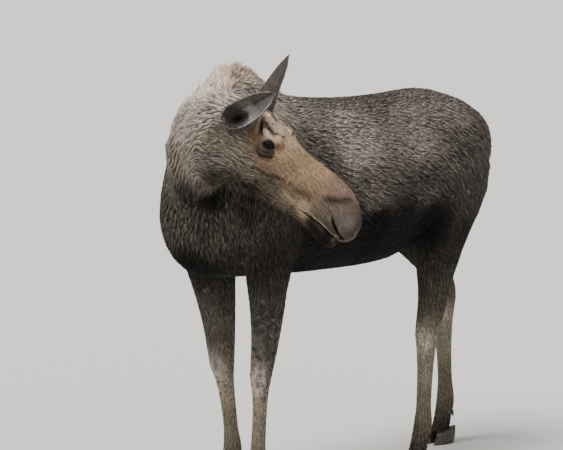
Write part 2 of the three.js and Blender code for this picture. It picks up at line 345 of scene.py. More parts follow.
def strokes(table: str) -> tuple[Stroke, ...]:
    """Reads rows of a name | places | width and rise, with "once" where there is no mirror image."""
    found = []
    for name, line, rest in columns_of(table):
        width, rise, *once = rest.split()
        found.append(Stroke(name.strip(), line_of(line), float(width), float(rise), not once))
    return tuple(found)


def reach_to(line: Array, places: Array) -> tuple[Array, Array]:
    """How far places are from a line.

    Args:
        line: The corners of the line.
        places: Any places in the same frame.

    Returns:
        The distance of each, and the share of the line's length that it is nearest to.
    """
    if len(line) == 1:
        return np.linalg.norm(places - line[0], axis=1), np.full(len(places), 0.5)
    legs = np.linalg.norm(np.diff(line, axis=0), axis=1)
    run = np.concatenate([[0], np.cumsum(legs)]) / legs.sum()
    best = np.full(len(places), np.inf)
    share = np.zeros(len(places))
    for i, (a, b) in enumerate(zip(line[:-1], line[1:])):
        along = np.clip((places - a) @ (b - a) / max((b - a) @ (b - a), 1e-9), 0, 1)
        far = np.linalg.norm(places - a - along[:, None] * (b - a), axis=1)
        nearer = far < best
        best = np.where(nearer, far, best)
        share = np.where(nearer, run[i] + along * (run[i + 1] - run[i]), share)
    return best, share


def pressed(strokes: tuple[Stroke, ...], axes: Axes, places: Array) -> Array:
    """How far each place is raised, in millimetres, by all the strokes."""
    local = axes.local(places)
    raised = np.zeros(len(places))
    for stroke in strokes:
        for line in stroke.lines():
            low, high = line.min(0) - 3 * stroke.width, line.max(0) + 3 * stroke.width
            near = np.flatnonzero(((local > low) & (local < high)).all(1))
            far, share = reach_to(line, local[near])
            ends = np.sin(np.pi * np.clip(share, 0.04, 0.96)) ** 0.5 if len(line) > 1 else 1.0
            raised[near] += stroke.rise * np.exp(-((far / stroke.width) ** 2)) * ends
    return raised


FACE_STROKES = strokes("""
temple fold | 42 -95 -5, 49 -99 -13, 58 -112 -29, 84 -133 -36, 100 -157 -39 | 7 -14
temple ridge | 49 -85 -14, 59 -97 -25, 68 -109 -41, 78 -124 -54 | 7 7
inner brow ridge | 13 -85 10, 27 -127 5, 36 -171 3, 30 -201 5 | 8 5
brow ridge | 35 -89 1, 47 -128 -8, 75 -170 1, 61 -195 3 | 7 6
under the brow | 45 -117 -14, 80 -159 -5, 76 -180 -4, 50 -200 0 | 6 -7
forehead fold | 2 -79 13, 6 -118 16, 9 -132 15 | 5 -6
orbit | 100 -160 -70, 104 -190 -40, 94 -226 -34 | 12 3
pouch | 84 -188 -98, 84 -212 -102, 78 -234 -92 | 9 5
under the pouch | 88 -186 -113, 86 -218 -116, 78 -242 -101 | 6 -5
inner corner | 97 -224 -44, 88 -237 -51, 76 -246 -64 | 4 -5
facial crest | 80 -235 -118, 74 -300 -108, 68 -380 -98, 64 -450 -88 | 12 4
under the crest | 72 -370 -112, 66 -430 -98, 62 -475 -78 | 18 -4
cheek muscle | 76 -120 -190, 72 -200 -200 | 55 6
edge of the cheek | 77 -220 -166, 72 -275 -150, 68 -325 -118 | 8 -5
front of the cheek | 66 -262 -235, 68 -285 -190, 72 -285 -170 | 12 -4
jaw hollow | 50 -330 -205, 42 -450 -170 | 18 -4
pad of the nostril | 58 -640 -38 | 34 5
nostril | 70 -587 -60, 67 -603 -73, 60 -621 -89, 48 -651 -104, 29 -677 -105 | 11 -16
floor of the nostril | 60 -625 -90, 48 -651 -104, 34 -672 -105 | 13 -12
rim of the nostril | 74 -574 -70, 66 -610 -106, 44 -654 -126 | 8 6
above the nostril | 66 -532 -26, 58 -562 2, 40 -586 22 | 17 -5
upper lip | 44 -478 -138, 38 -556 -116, 36 -620 -120 | 9 4
mouth | 42 -462 -154, 38 -486 -146, 34 -556 -130, 28 -640 -130 | 5 -10
corner of the mouth | 44 -458 -156 | 11 -5
lower lip | 38 -520 -160, 36 -610 -160 | 12 3
""")

BODY_STROKES = strokes("""
shoulder blade | 150 -520 1700, 215 -590 1540, 250 -640 1330 | 60 10
behind the shoulder | 225 -360 1600, 275 -390 1420, 280 -410 1230 | 70 -11
near side of the neck | -60 -905 1530, -62 -890 1600, -30 -880 1640 | 75 -13 once
elbow | 200 -430 1080 | 60 8
front of the shoulder | 200 -740 1430, 170 -800 1220 | 55 -8
hip bone | 185 440 1600 | 60 12
hollow of the flank | 225 290 1530, 260 330 1400 | 85 -12
belly | 285 100 1230 | 200 6
fold of the flank | 225 400 1080, 250 390 1240 | 42 9
pin bone | 90 905 1450 | 50 8
thigh groove | 225 800 1400, 205 800 1150 | 36 -8
front of the thigh | 255 500 1330, 240 470 1120 | 60 6
""")


# ---- what the coat is like, place by place
@dataclass(frozen=True)
class Spot:
    """What the coat is like at one place: its lie, colour, length, lift and share of pale hair."""

    at: tuple[float, float, float]
    lie: tuple[float, float, float]
    colour: str
    length: float
    lift: float = 0.12
    pale: float = 0.4
    reach: float = 160
    both: bool = True


def spots(table: str) -> tuple[Spot, ...]:
    """Reads rows of a place | lie | colour, length, lift, pale share and reach, maybe with "once"."""
    found = []
    for at, lie, rest in columns_of(table):
        colour, *numbers = rest.split()
        both = numbers[-1] != "once"
        numbers = [float(number) for number in numbers if number != "once"]
        found.append(Spot(line_of(at)[0], line_of(lie)[0], colour, *numbers, both=both))
    return tuple(found)


@dataclass
class Sample:
    """The coat at many places."""

    lie: Array
    colour: Array
    length: Array
    lift: Array
    pale: Array

    def blend(self, other: "Sample", share: Array) -> "Sample":
        """This sample, turned into the other by a share at each place."""
        mixed = []
        for name in ("lie", "colour", "length", "lift", "pale"):
            mine, its = getattr(self, name), getattr(other, name)
            part = share[:, None] if mine.ndim == 2 else share
            mixed.append(mine + (its - mine) * part)
        return Sample(*mixed)


def read_chart(chart: tuple[Spot, ...], axes: Axes, places: Array) -> Sample:
    """Reads the coat between the spots of a chart.

    Args:
        chart: The spots.
        axes: The frame that they are given in.
        places: World places.

    Returns:
        The coat at those places: near a spot it is that spot's.
    """
    rows = []
    for spot in chart:
        for side in (1, -1) if spot.both else (1,):
            at, lie = np.array(spot.at, float), np.array(spot.lie, float)
            at[0] *= side
            lie[0] *= side
            rows.append((at, unit(lie), srgb(spot.colour), spot.length, spot.lift, spot.pale, spot.reach))
    at, lie, colour, length, lift, pale, reach = (np.array(column) for column in zip(*rows))
    local = axes.local(places)
    table = np.column_stack([axes.way(lie), colour, length, lift, pale])
    found = np.empty((len(places), table.shape[1]))
    for start in range(0, len(places), 20000):
        block = local[start : start + 20000]
        apart = ((block[:, None, :] - at[None]) ** 2).sum(2) / reach**2
        weight = 1 / (apart + 0.02) ** 2.2
        found[start : start + 20000] = weight @ table / weight.sum(1, keepdims=True)
    return Sample(found[:, 0:3], found[:, 3:6], found[:, 6], found[:, 7], found[:, 8])


# The coat's colours as it looks under light from above. Besides its own markings they hold painted light:
# lighter on top, and darker on the undersides as painted shade.
# on the throat under the jaw: the first three darker as painted shade, the last two lighter as painted
# light against the shadow in the pocket behind the jaw
# the back and the bottom of the thighs darker, partly painted shade
# the belly, near-black: its own dark hair with painted shade under her
# the bottom of the breast near-black, partly painted shade under her
# the pale crest is painted brightest on top, partly as painted light from above
# the sides, from the shoulder back, near-black low down, partly their own dark hair and partly painted
# shade under light from above
BODY_CHART = spots("""
# the crest of the neck and the hump, where the hair stands
0 -560 1820 | 0 0.5 1 | b39c85 52 0.62 0.5 120 once
0 -690 1800 | -0.1 0.2 1 | c9b29c 50 0.62 0.5 120 once
60 -830 1770 | -0.5 0.3 1 | fff5ea 48 0.6 0.9 120 once
190 -925 1770 | -0.8 0.25 0.8 | fff0e3 42 0.5 0.9 110 once
330 -975 1775 | -1 0.2 0.4 | c4b3a2 34 0.34 0.6 100 once
0 -430 1765 | 0 1 0.5 | ab9b8b 44 0.42 0.7 130 once
0 -300 1690 | 0 1 0.1 | 80746c 36 0.18 0.6 150 once
# the back, from the hump to the tail
0 -60 1665 | 0 1 0 | 5b514a 32 0.12 0.6 220 once
0 280 1650 | 0 1 0 | 554c46 32 0.12 0.6 220 once
0 560 1660 | 0 1 -0.1 | 655c55 32 0.12 0.6 200 once
0 790 1600 | 0 1 -0.5 | 5f5750 34 0.12 0.4 150 once
0 930 1460 | 0 0.4 -1 | 3a3632 26 0.12 0.3 120 once
# the sides, from the shoulder back
130 -560 1700 | 0.2 0.6 -0.8 | 958a80 38 0.24 0.7
215 -600 1500 | 0 0.45 -1 | 5f574f 36 0.14 0.5
245 -560 1300 | 0 0.3 -1 | 3c3833 30 0.12 0.35
235 -480 1130 | 0 0.3 -1 | 2b2825 24 0.12 0.25
270 -330 1400 | 0 1 -0.5 | 5a524b 34 0.12 0.45
275 -330 1150 | 0 1 -0.4 | 141210 30 0.12 0.14 165
170 -60 1620 | 0 1 -0.25 | 8c8179 32 0.12 0.6
270 -60 1480 | 0 1 -0.35 | 968c82 32 0.12 0.6
290 -165 1125 | 0 1 -0.4 | 12110f 30 0.12 0.14 150
275 180 1115 | 0 1 -0.4 | 12110f 30 0.12 0.14 150
298 -30 1310 | 0 1 -0.5 | 5e5750 32 0.12 0.5
280 0 1130 | 0 1 -0.4 | 090808 30 0.12 0.12 165
170 330 1610 | 0 1 -0.3 | 7d736b 32 0.12 0.6
275 330 1480 | 0 1 -0.4 | 857b72 32 0.12 0.6
290 340 1290 | 0 1 -0.6 | 4a443e 32 0.12 0.45
250 360 1120 | 0 1 -0.3 | 080707 30 0.12 0.12 165
0 -350 950 | 0 1 0 | 040404 30 0.12 0.05 200 once
0 0 940 | 0 1 0 | 040404 30 0.12 0.05 200 once
0 420 990 | 0 1 0.2 | 040404 26 0.12 0.05 200 once
# the rump and the thighs
190 620 1600 | 0 1 -0.5 | 7c7269 32 0.12 0.6
255 640 1430 | 0 0.7 -1 | 4c4640 32 0.12 0.5
250 660 1230 | 0 0.35 -1 | 4f4c47 28 0.12 0.25
215 830 1420 | 0 0.5 -1 | 5a524b 32 0.12 0.35
120 900 1300 | 0 0.3 -1 | 2a2724 30 0.12 0.25
205 600 1050 | 0 0.3 -1 | 33302c 24 0.12 0.2
# the breast
0 -860 1230 | 0 -0.2 -1 | 48433c 30 0.16 0.5 130 once
150 -790 1250 | 0.2 0.1 -1 | 48443c 28 0.15 0.45 130
0 -800 1040 | 0 0.4 -1 | 151310 28 0.16 0.2 130 once
-170 -760 1400 | -0.2 0.3 -1 | 5d574e 28 0.14 0.5 130 once
# the outer side of the neck, which bends to her left
30 -960 1650 | -0.8 0.35 -0.6 | b0a59a 34 0.2 0.7 110 once
150 -1010 1650 | -1 0.1 -0.5 | b0a498 32 0.16 0.7 110 once
300 -1060 1640 | -1 0 -0.4 | a39788 28 0.14 0.65 110 once
40 -980 1480 | -0.7 0.3 -0.9 | 786f64 30 0.14 0.6 110 once
180 -1010 1480 | -0.8 0.1 -0.9 | 857c6c 30 0.14 0.6 110 once
300 -1040 1500 | -0.9 0 -0.7 | 857c6d 28 0.14 0.55 110 once
160 -860 1320 | -0.3 0.2 -1 | 1b1915 30 0.16 0.2 110 once
235 -750 1290 | -0.3 0.2 -1 | 38342e 30 0.16 0.2 100 once
60 -930 1330 | -0.4 0.2 -1 | 2f2c25 30 0.16 0.4 110 once
200 -960 1370 | -0.6 0.1 -1 | 5c554a 30 0.16 0.3 90 once
295 -1009 1440 | -0.8 0 -0.8 | 6e675a 28 0.16 0.4 70 once
# its inner side
150 -780 1640 | -0.8 0.5 -0.5 | 7d736a 40 0.2 0.5 110 once
280 -850 1650 | -0.9 0.4 -0.4 | 7a7067 36 0.18 0.5 110 once
200 -800 1480 | -0.7 0.5 -0.8 | 4f4941 38 0.18 0.4 110 once
330 -870 1480 | -0.8 0.3 -0.7 | 3d3830 34 0.18 0.3 110 once
""")

# The head's colours as it looks under light from above, partly painted light: lighter along the forehead,
# the brow and the bridge, and darker as painted shade on the lower cheeks and under the jaw.
# darker under the chin and the jaw, partly painted shade
# under the jaw, darker as painted shade
HEAD_CHART = spots("""
0 -40 12 | 0 1 0 | 9c8c7d 14 0.12 0.3 60 once
30 -120 14 | 0 1 0 | ab9680 8 0.05 0.1 50
60 -170 8 | 0.2 1 0 | dcc6ad 8 0.05 0.1 50
0 -230 16 | 0 1 0 | b0977c 8 0.05 0.1 60 once
0 -330 20 | 0 1 0 | 987f66 8 0.05 0.1 60 once
0 -430 38 | 0 1 0 | 8f7760 8 0.05 0.1 60 once
0 -540 48 | 0 1 0 | 7d6a5d 8 0.05 0.1 60 once
0 -620 25 | 0 1 0.3 | 64574c 8 0.05 0.1 50 once
0 -680 -50 | 0 0.3 1 | 564d46 8 0.05 0.1 50 once
55 -650 -20 | 0.3 1 0.3 | 60574f 8 0.05 0.1 40
72 -560 -60 | 0 1 -0.1 | 64584d 8 0.05 0.1 50
70 -450 -60 | 0 1 -0.1 | 7c6753 8 0.05 0.12 50
70 -340 -60 | 0 1 -0.1 | 846d57 8 0.05 0.12 50
84 -250 -40 | 0 1 -0.1 | 957b62 8 0.05 0.1 45
84 -240 -125 | 0 1 -0.3 | 7b6550 9 0.05 0.12 50
84 -140 -70 | 0 1 -0.3 | 6b5947 8 0.05 0.12 45
90 -90 -120 | 0 1 -0.5 | 6b6053 14 0.12 0.6 50
86 -110 -180 | 0 1 -0.5 | 665d50 18 0.15 0.7 60
80 -200 -185 | 0 1 -0.4 | 62594a 13 0.12 0.6 55
72 -300 -170 | 0 1 -0.3 | 5b5141 9 0.1 0.35 50
64 -400 -150 | 0 1 -0.2 | 7d6c57 8 0.1 0.25 50
52 -470 -135 | 0 1 -0.1 | 9c8a71 8 0.05 0.15 40
44 -570 -112 | 0 1 0 | 605448 8 0.05 0.1 40
60 -180 -255 | 0 1 -0.4 | 4c463a 20 0.14 0.55 60
50 -320 -250 | 0 1 -0.2 | 40392d 14 0.12 0.4 60
40 -440 -205 | 0 1 -0.1 | 51463a 10 0.1 0.4 50
40 -560 -165 | 0 1 -0.1 | 1c1813 5 0.1 0.1 40
38 -610 -160 | 0 1 -0.1 | 191510 5 0.1 0.1 40
0 -600 -205 | 0 1 -0.5 | 51483b 12 0.3 0.3 50 once
0 -450 -225 | 0 1 -0.1 | 3a3329 10 0.1 0.2 60 once
0 -250 -275 | 0 1 0 | 2c2820 18 0.12 0.2 70 once
-50 -50 -270 | 0 1 -0.5 | 6b6358 26 0.14 0.65 80 once
-30 30 -330 | 0 1 -0.5 | 6f675b 28 0.14 0.65 80 once
50 -110 -330 | 0 1 -0.2 | 4c463b 26 0.15 0.2 70 once
70 40 -130 | 0 1 -0.6 | 544d43 25 0.16 0.6 70
""")


@dataclass(frozen=True)
class Band:
    """The coat of a leg at one height, in millimetres."""

    height: float
    fore: str
    hind: str
    length: float


LEG_BANDS = (
    Band(60, "39342e", "39342e", 30),
    Band(95, "453e37", "453e37", 20),
    Band(130, "574f46", "574f46", 12),
    Band(220, "756c5c", "786e5d", 10),
    Band(350, "8c836f", "8a806c", 9),
    Band(450, "9a907c", "9d9481", 9),
    Band(540, "7d7465", "8f8675", 10),
    Band(620, "625b52", "6e6657", 12),
    Band(750, "5c5650", "564f43", 15),
    Band(900, "4c4842", "44403a", 20),
    Band(1050, "3e3a35", "33302c", 24),
)


def read_legs(places: Array, normals: Array) -> Sample:
    """The coat of the legs: banded by height, with a pale patch in front of the knees and hocks."""
    local = BODY.local(places)
    height = local[:, 2]
    at = [band.height for band in LEG_BANDS]
    hind = smooth(local[:, 1], -100, 100)[:, None]
    tints = []
    for kind in ("fore", "hind"):
        table = np.array([srgb(getattr(band, kind)) for band in LEG_BANDS])
        tints.append(np.stack([np.interp(height, at, table[:, i]) for i in range(3)], 1))
    colour = tints[0] * (1 - hind) + tints[1] * hind
    forward = smooth(-normals[:, 1], -0.1, 0.7)
    inner = smooth(-normals[:, 0] * np.sign(local[:, 0]), 0.0, 0.8)
    pale = inner * smooth(height, 420, 600) * (1 - smooth(height, 760, 900))
    colour = blend(colour, "786f61", 0.65 * pale * (1 - 0.7 * hind[:, 0]))
    knee = np.exp(-(((height - 555) / 60) ** 2)) * (1 - hind[:, 0]) * forward
    hock = np.exp(-(((height - 590) / 60) ** 2)) * hind[:, 0] * (0.4 + 0.6 * forward)
    patch = np.clip(knee + hock, 0, 0.85) * (0.8 + 0.25 * ripple(places, 0.03, 31))
    colour = blend(colour, "d8cdbd", np.clip(patch, 0, 0.9))
    count = len(places)
    lie = np.tile([0.0, 0.12, -1.0], (count, 1))
    length = np.interp(height, at, [band.length for band in LEG_BANDS])
    return Sample(lie, colour, length, np.full(count, 0.1), np.full(count, 0.3))


@dataclass(frozen=True)
class Mark:
    """A line or a spot of another colour on the face: markings, and painted shade and painted highlight.
    """

    name: str
    line: tuple[tuple[float, float, float], ...]
    width: float
    colour: str
    strength: float


def marks(table: str) -> tuple[Mark, ...]:
    """Reads rows of a name | places | width, colour and strength."""
    found = []
    for name, line, rest in columns_of(table):
        width, colour, strength = rest.split()
        found.append(Mark(name.strip(), line_of(line), float(width), colour, float(strength)))
    return tuple(found)


# Marks of the face. Besides markings, many are painted light: painted shade in the folds, grooves,
# nostrils and mouth, and painted highlight on the ridges of the temple and brow and on the pad of the
# nostril.
# darker partly as painted shade under the mouth
# lighter partly as painted highlight where light from above falls on the ridges
# painted black as painted shade in the nostrils and the crease of the mouth
# painted shade in the crease under the pouch
# painted shade in the folds of the brow, the temple and the forehead
# painted shade in the groove above the nostril
# painted shade in the grooves at the edge of the cheek
# painted shade in the hollow under the facial crest
# painted shadow of the brow on the slope by the inner corner
# the pad's own grey, lighter partly as painted highlight
FACE_MARKS = marks("""
temple | 92 -120 -78, 96 -150 -92 | 20 6a543f 0.35
behind the eye | 92 -105 -110, 92 -132 -106, 91 -152 -100 | 9 4a3a29 0.6
temple ridge | 49 -85 -14, 59 -97 -25, 68 -109 -41, 78 -124 -54 | 6 c7b4a0 0.7
inner brow ridge | 13 -85 10, 27 -127 5, 36 -171 3, 30 -201 5 | 7 c9b7a3 0.6
brow ridge | 35 -89 1, 47 -128 -8, 75 -170 1, 61 -195 3 | 6 c9b49d 0.65
under the brow | 45 -117 -14, 80 -159 -5, 80 -188 2, 56 -203 2, 34 -210 0 | 7.5 1c130c 1
temple fold | 42 -95 -5, 49 -99 -13, 58 -112 -29, 66 -120 -32 | 8 120d0a 1
temple fold | 66 -120 -32, 84 -133 -36, 100 -157 -39 | 7 1c140e 1
forehead fold | 2 -79 13, 6 -118 16, 9 -132 15 | 8 17110c 1
pouch | 88 -178 -90, 85 -212 -87, 82 -232 -70 | 13 3b342c 0.95
under the pouch | 88 -185 -103, 86 -211 -106, 81 -233 -94, 76 -245 -77 | 7 14100d 1
inner corner | 98 -218 -33, 93 -231 -42, 85 -237 -51, 76 -242 -62 | 6 080605 1
inner slope | 72 -240 -24, 60 -252 -8 | 14 5f4a36 0.5
bridge | 30 -330 14, 34 -430 24 | 26 8d6a4c 0.35
edge of the cheek | 77 -220 -164, 72 -275 -148, 68 -325 -117 | 7 3f3326 0.8
second fold | 80 -262 -176, 72 -300 -158 | 5 4a3d2e 0.6
cheek | 57 -290 -184 | 8 2a241b 0.8
cheek streak | 72 -235 -192, 64 -320 -170 | 8 a0968a 0.45
under the crest | 66 -408 -102, 65 -466 -74 | 15 4d3a29 0.7
towards the mouth | 52 -382 -149, 42 -468 -146 | 12 b8a78d 0.6
above the nostril | 67 -530 -26, 60 -562 0, 42 -584 22 | 17 2a221c 0.85
pad of the nostril | 50 -660 -33 | 24 847c77 0.5
upper lip | 42 -490 -134, 36 -600 -114, 30 -650 -112 | 6.5 b3a58d 0.8
lower lip | 40 -525 -154, 36 -612 -156 | 21 181410 0.9
edge of the chin | 37 -523 -180, 27 -600 -203 | 6 8f826d 0.45
rim of the nostril | 74 -576 -68, 66 -612 -103, 46 -656 -124 | 6 a09080 0.6
edge of the muzzle | 20 -645 -137, 19 -684 -102, 7 -690 -82, 1 -688 -56 | 7 8f877b 0.6
nostril | 70 -587 -60, 67 -603 -73 | 5 040303 1
nostril | 67 -603 -73, 60 -621 -89 | 12 040303 1
nostril | 60 -625 -90, 48 -651 -104, 34 -674 -105 | 17 040303 1
mouth | 42 -462 -154, 38 -486 -146, 34 -556 -130, 28 -640 -130 | 5 0c0907 0.95
""")
BARE_MARKS = ("nostril", "mouth", "inner corner")


def marked(colour: Array, local: Array) -> tuple[Array, Array]:
    """Paints the marks of the face: its markings, painted shade in its folds, grooves and openings, and
    painted highlight on its ridges.

    Args:
        colour: The face's colours.
        local: The same places in the head's frame.

    Returns:
        The colours with the marks, and how bare of hair each place is.
    """
    bare = np.zeros(len(local))
    folded = local.copy()
    folded[:, 0] = np.abs(folded[:, 0])
    for mark in FACE_MARKS:
        line = np.array(mark.line, float)
        low, high = line.min(0) - 3 * mark.width, line.max(0) + 3 * mark.width
        near = np.flatnonzero(((folded > low) & (folded < high)).all(1))
        far, _ = reach_to(line, folded[near])
        share = np.exp(-((far / mark.width) ** 2)) * mark.strength
        if mark.name in BARE_MARKS:
            share = 1 - smooth(far / mark.width, 0.55, 1.1)
            bare[near] = np.maximum(bare[near], share)
        colour[near] = blend(colour[near], mark.colour, share)
    return colour, bare


# ---- where one kind of coat ends
class Region(Enum):
    """The parts of the skin that are smoothed in their own way, most of them with a coat of their own."""

    HEAD = "head"
    EARS = "ears"
    LEGS = "legs"
    TAIL = "tail"


LEGS = ("foreleg_left", "foreleg_right", "hindleg_left", "hindleg_right")


def outside(low: Array, high: Array, places: Array) -> Array:
    """How far places are outside a box, in its own unit."""
    return np.linalg.norm(np.maximum(np.maximum(low - places, places - high), 0), axis=1)


def share_of(region: Region, places: Array) -> Array:
    """How much each place belongs to a region, from 0 to 1."""
    if region is Region.HEAD:
        local = HEAD.local(places)
        share = smooth(-local[:, 1], -70, 10) * smooth(-np.abs(local[:, 0]), -220, -180)
        return share * smooth(local[:, 2], -430, -380)
    if region is Region.EARS:
        return np.maximum(*(ear.holds(places) for ear in EARS))
    if region is Region.TAIL:
        return 1 - smooth(outside(*box_of("tail"), places), 0.0, 0.03)
    low_down = 1 - smooth(places[:, 2], 0.88, 1.06)
    share = np.zeros(len(places))
    for leg in LEGS:
        low, high = (corner[:2] for corner in box_of(f"{leg}_lower"))
        near = 1 - smooth(outside(low, high, places[:, :2]), 0.06, 0.11)
        share = np.maximum(share, near * low_down)
    return share


def read_ears(places: Array, normals: Array) -> Sample:
    """The coat of the ears: brown-grey behind, blue-grey inside, with painted shade black at the root of
    the cup and dark along the fold inside.
    """
    count = len(places)
    lie = np.tile(HEAD.way([0.0, 0.0, 1.0]), (count, 1))
    colour = np.tile(srgb("564e49"), (count, 1))
    length = np.full(count, 7.0)
    pale = np.full(count, 0.1)
    for ear in EARS:
        axes = ear.axes()
        mine = np.flatnonzero(ear.holds(places) > 0)
        local, facing = axes.local(places[mine]), normals[mine] @ axes.turn
        share, off, radius, away = ear.polar(local)
        around = np.stack([-away[:, 1], away[:, 0], np.zeros(len(mine))], 1)
        inside = smooth(-(facing * away).sum(1), -0.05, 0.35)
        inside = np.maximum(inside, 1 - smooth(off - radius, -20, -12))
        front = smooth(away[:, 0], 0.1, 0.5) * (1 - smooth(share, 0.26, 0.4))
        lobe = np.maximum(inside * (1 - smooth(share, 0.06, 0.3)), front)
        cup = inside * np.exp(-((local[:, 1] / 26) ** 2) - ((share - 0.04) * ear.length / 34) ** 2)
        over = inside * smooth(local[:, 1] * ear.side, 0.25 * radius, 0.5 * radius)
        fold = inside * np.exp(-(((local[:, 1] * ear.side - 0.3 * radius) / 6) ** 2))
        rim = smooth(np.abs((facing * around).sum(1)), 0.55, 0.85) * smooth(share, 0.2, 0.4)
        lie[mine] = axes.way([0.0, 0.0, 1.0])
        own = colour[mine]
        # the black at the root of the cup and the dark fold are painted shade in the ear's hollow and its
        # crease
        for tone, part in (
            (blend(srgb("a19e9b"), "6c6967", smooth(share, 0.3, 0.7)), inside),
            ("5f5650", 0.8 * over),
            ("514b46", 0.85 * lobe),
            ("24211f", 0.7 * fold * smooth(share, 0.3, 0.5)),
            ("0c0a09", cup),
            ("b5a99c", 0.75 * rim),
        ):
            own = blend(own, tone, part)
        colour[mine] = own
        length[mine] += 4 * rim + 5 * front
        pale[mine] += 0.3 * front
    return Sample(lie, colour, length, np.full(count, 0.08), pale)


def read_coat(places: Array, normals: Array) -> Sample:
    """Reads the whole coat at places on the skin.

    Args:
        places: World places, in metres.
        normals: The skin's outward directions there.

    Returns:
        The coat, with its lie flat on the skin.
    """
    coat = read_chart(BODY_CHART, BODY, places)
    readers = (
        (Region.LEGS, lambda: read_legs(places, normals)),
        (Region.HEAD, lambda: read_chart(HEAD_CHART, HEAD, places)),
        (Region.EARS, lambda: read_ears(places, normals)),
    )
    for region, reader in readers:
        coat = coat.blend(reader(), share_of(region, places))
    coat.lie = unit(coat.lie - normals * (coat.lie * normals).sum(1, keepdims=True))
    return coat


def depth_of(coat: Sample) -> Array:
    """How deep the skin lies under the outline of the coat, in millimetres."""
    return 0.6 + coat.length * (0.12 + 0.64 * coat.lift)


# ---- eyes and lids
@dataclass(frozen=True)
class Eye:
    """One eye: its ball, and the almond between its lids, in millimetres."""

    side: int
    half_width: float = 20.0
    upper: float = 11.5
    lower: float = 9.0
    gaze: tuple[float, float, float] = (0.93, -0.30, 0.15)

    @property
    def node(self) -> str:
        """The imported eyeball."""
        return "eye_left" if self.side > 0 else "eye_right"

    @property
    def radius(self) -> float:
        """The ball's radius in metres."""
        low, high = box_of(self.node)
        return max(high - low) / 2

    def axes(self) -> Axes:
        """X runs along the opening to the nose, Y up the opening and Z along the gaze."""
        gaze = unit(np.array(self.gaze) * (self.side, 1, 1))
        along = np.array([0.0, -0.925, 0.38])
        along = unit(along - gaze * (along @ gaze))
        up = np.cross(gaze, along) * self.side
        up = up if up[2] > 0 else -up
        turn = HEAD.turn @ np.stack([along, up, gaze], 1)
        return Axes(centre_of(self.node), turn, 1.0)

    def beyond(self, local: Array) -> Array:
        """How far places lie outside the almond, in millimetres measured on the ball."""
        size = np.maximum(np.linalg.norm(local, axis=1), 1e-6)
        angle = np.arccos(np.clip(local[:, 2] / size, -1, 1))
        flat = np.hypot(local[:, 0], local[:, 1]) + 1e-6
        arc = angle * self.radius / MM / flat
        along, up = local[:, 0] * arc, local[:, 1] * arc
        height = np.where(up > 0, self.upper, self.lower)
        form = np.abs(up) / height + (np.abs(along) / self.half_width) ** 1.8
        return (form - 1) * height * 0.75

    def lids(self, places: Array) -> Array:
        """Moulds the skin round the ball.

        Args:
            places: The skin's places.

        Returns:
            The same places, with an opening, a lid's edge, a plump lid and the crease round it.
        """
        axes = self.axes()
        local = axes.local(places)
        size = np.linalg.norm(local, axis=1)
        near = np.flatnonzero((size < 60) & (local[:, 2] > -5))
        ball = self.radius / MM
        out = self.beyond(local[near])
        at = [-3.0, -1.2, 0.0, 1.5, 4.0, 8.5, 12.0, 15.0, 20.0]
        rise = [-4.0, -3.5, 1.2, 2.8, 3.4, 3.2, 0.4, 2.4, 3.0]
        aim = ball + np.interp(out, at, rise)
        hold = 1 - smooth(out, 12, 24)
        hold *= smooth(local[near, 2], -5, 6)
        way = local[near] / size[near, None]
        moved = way * (size[near] + (aim - size[near]) * hold)[:, None]
        result = places.copy()
        result[near] = axes.world(moved)
        return result


EYES = (Eye(1), Eye(-1))


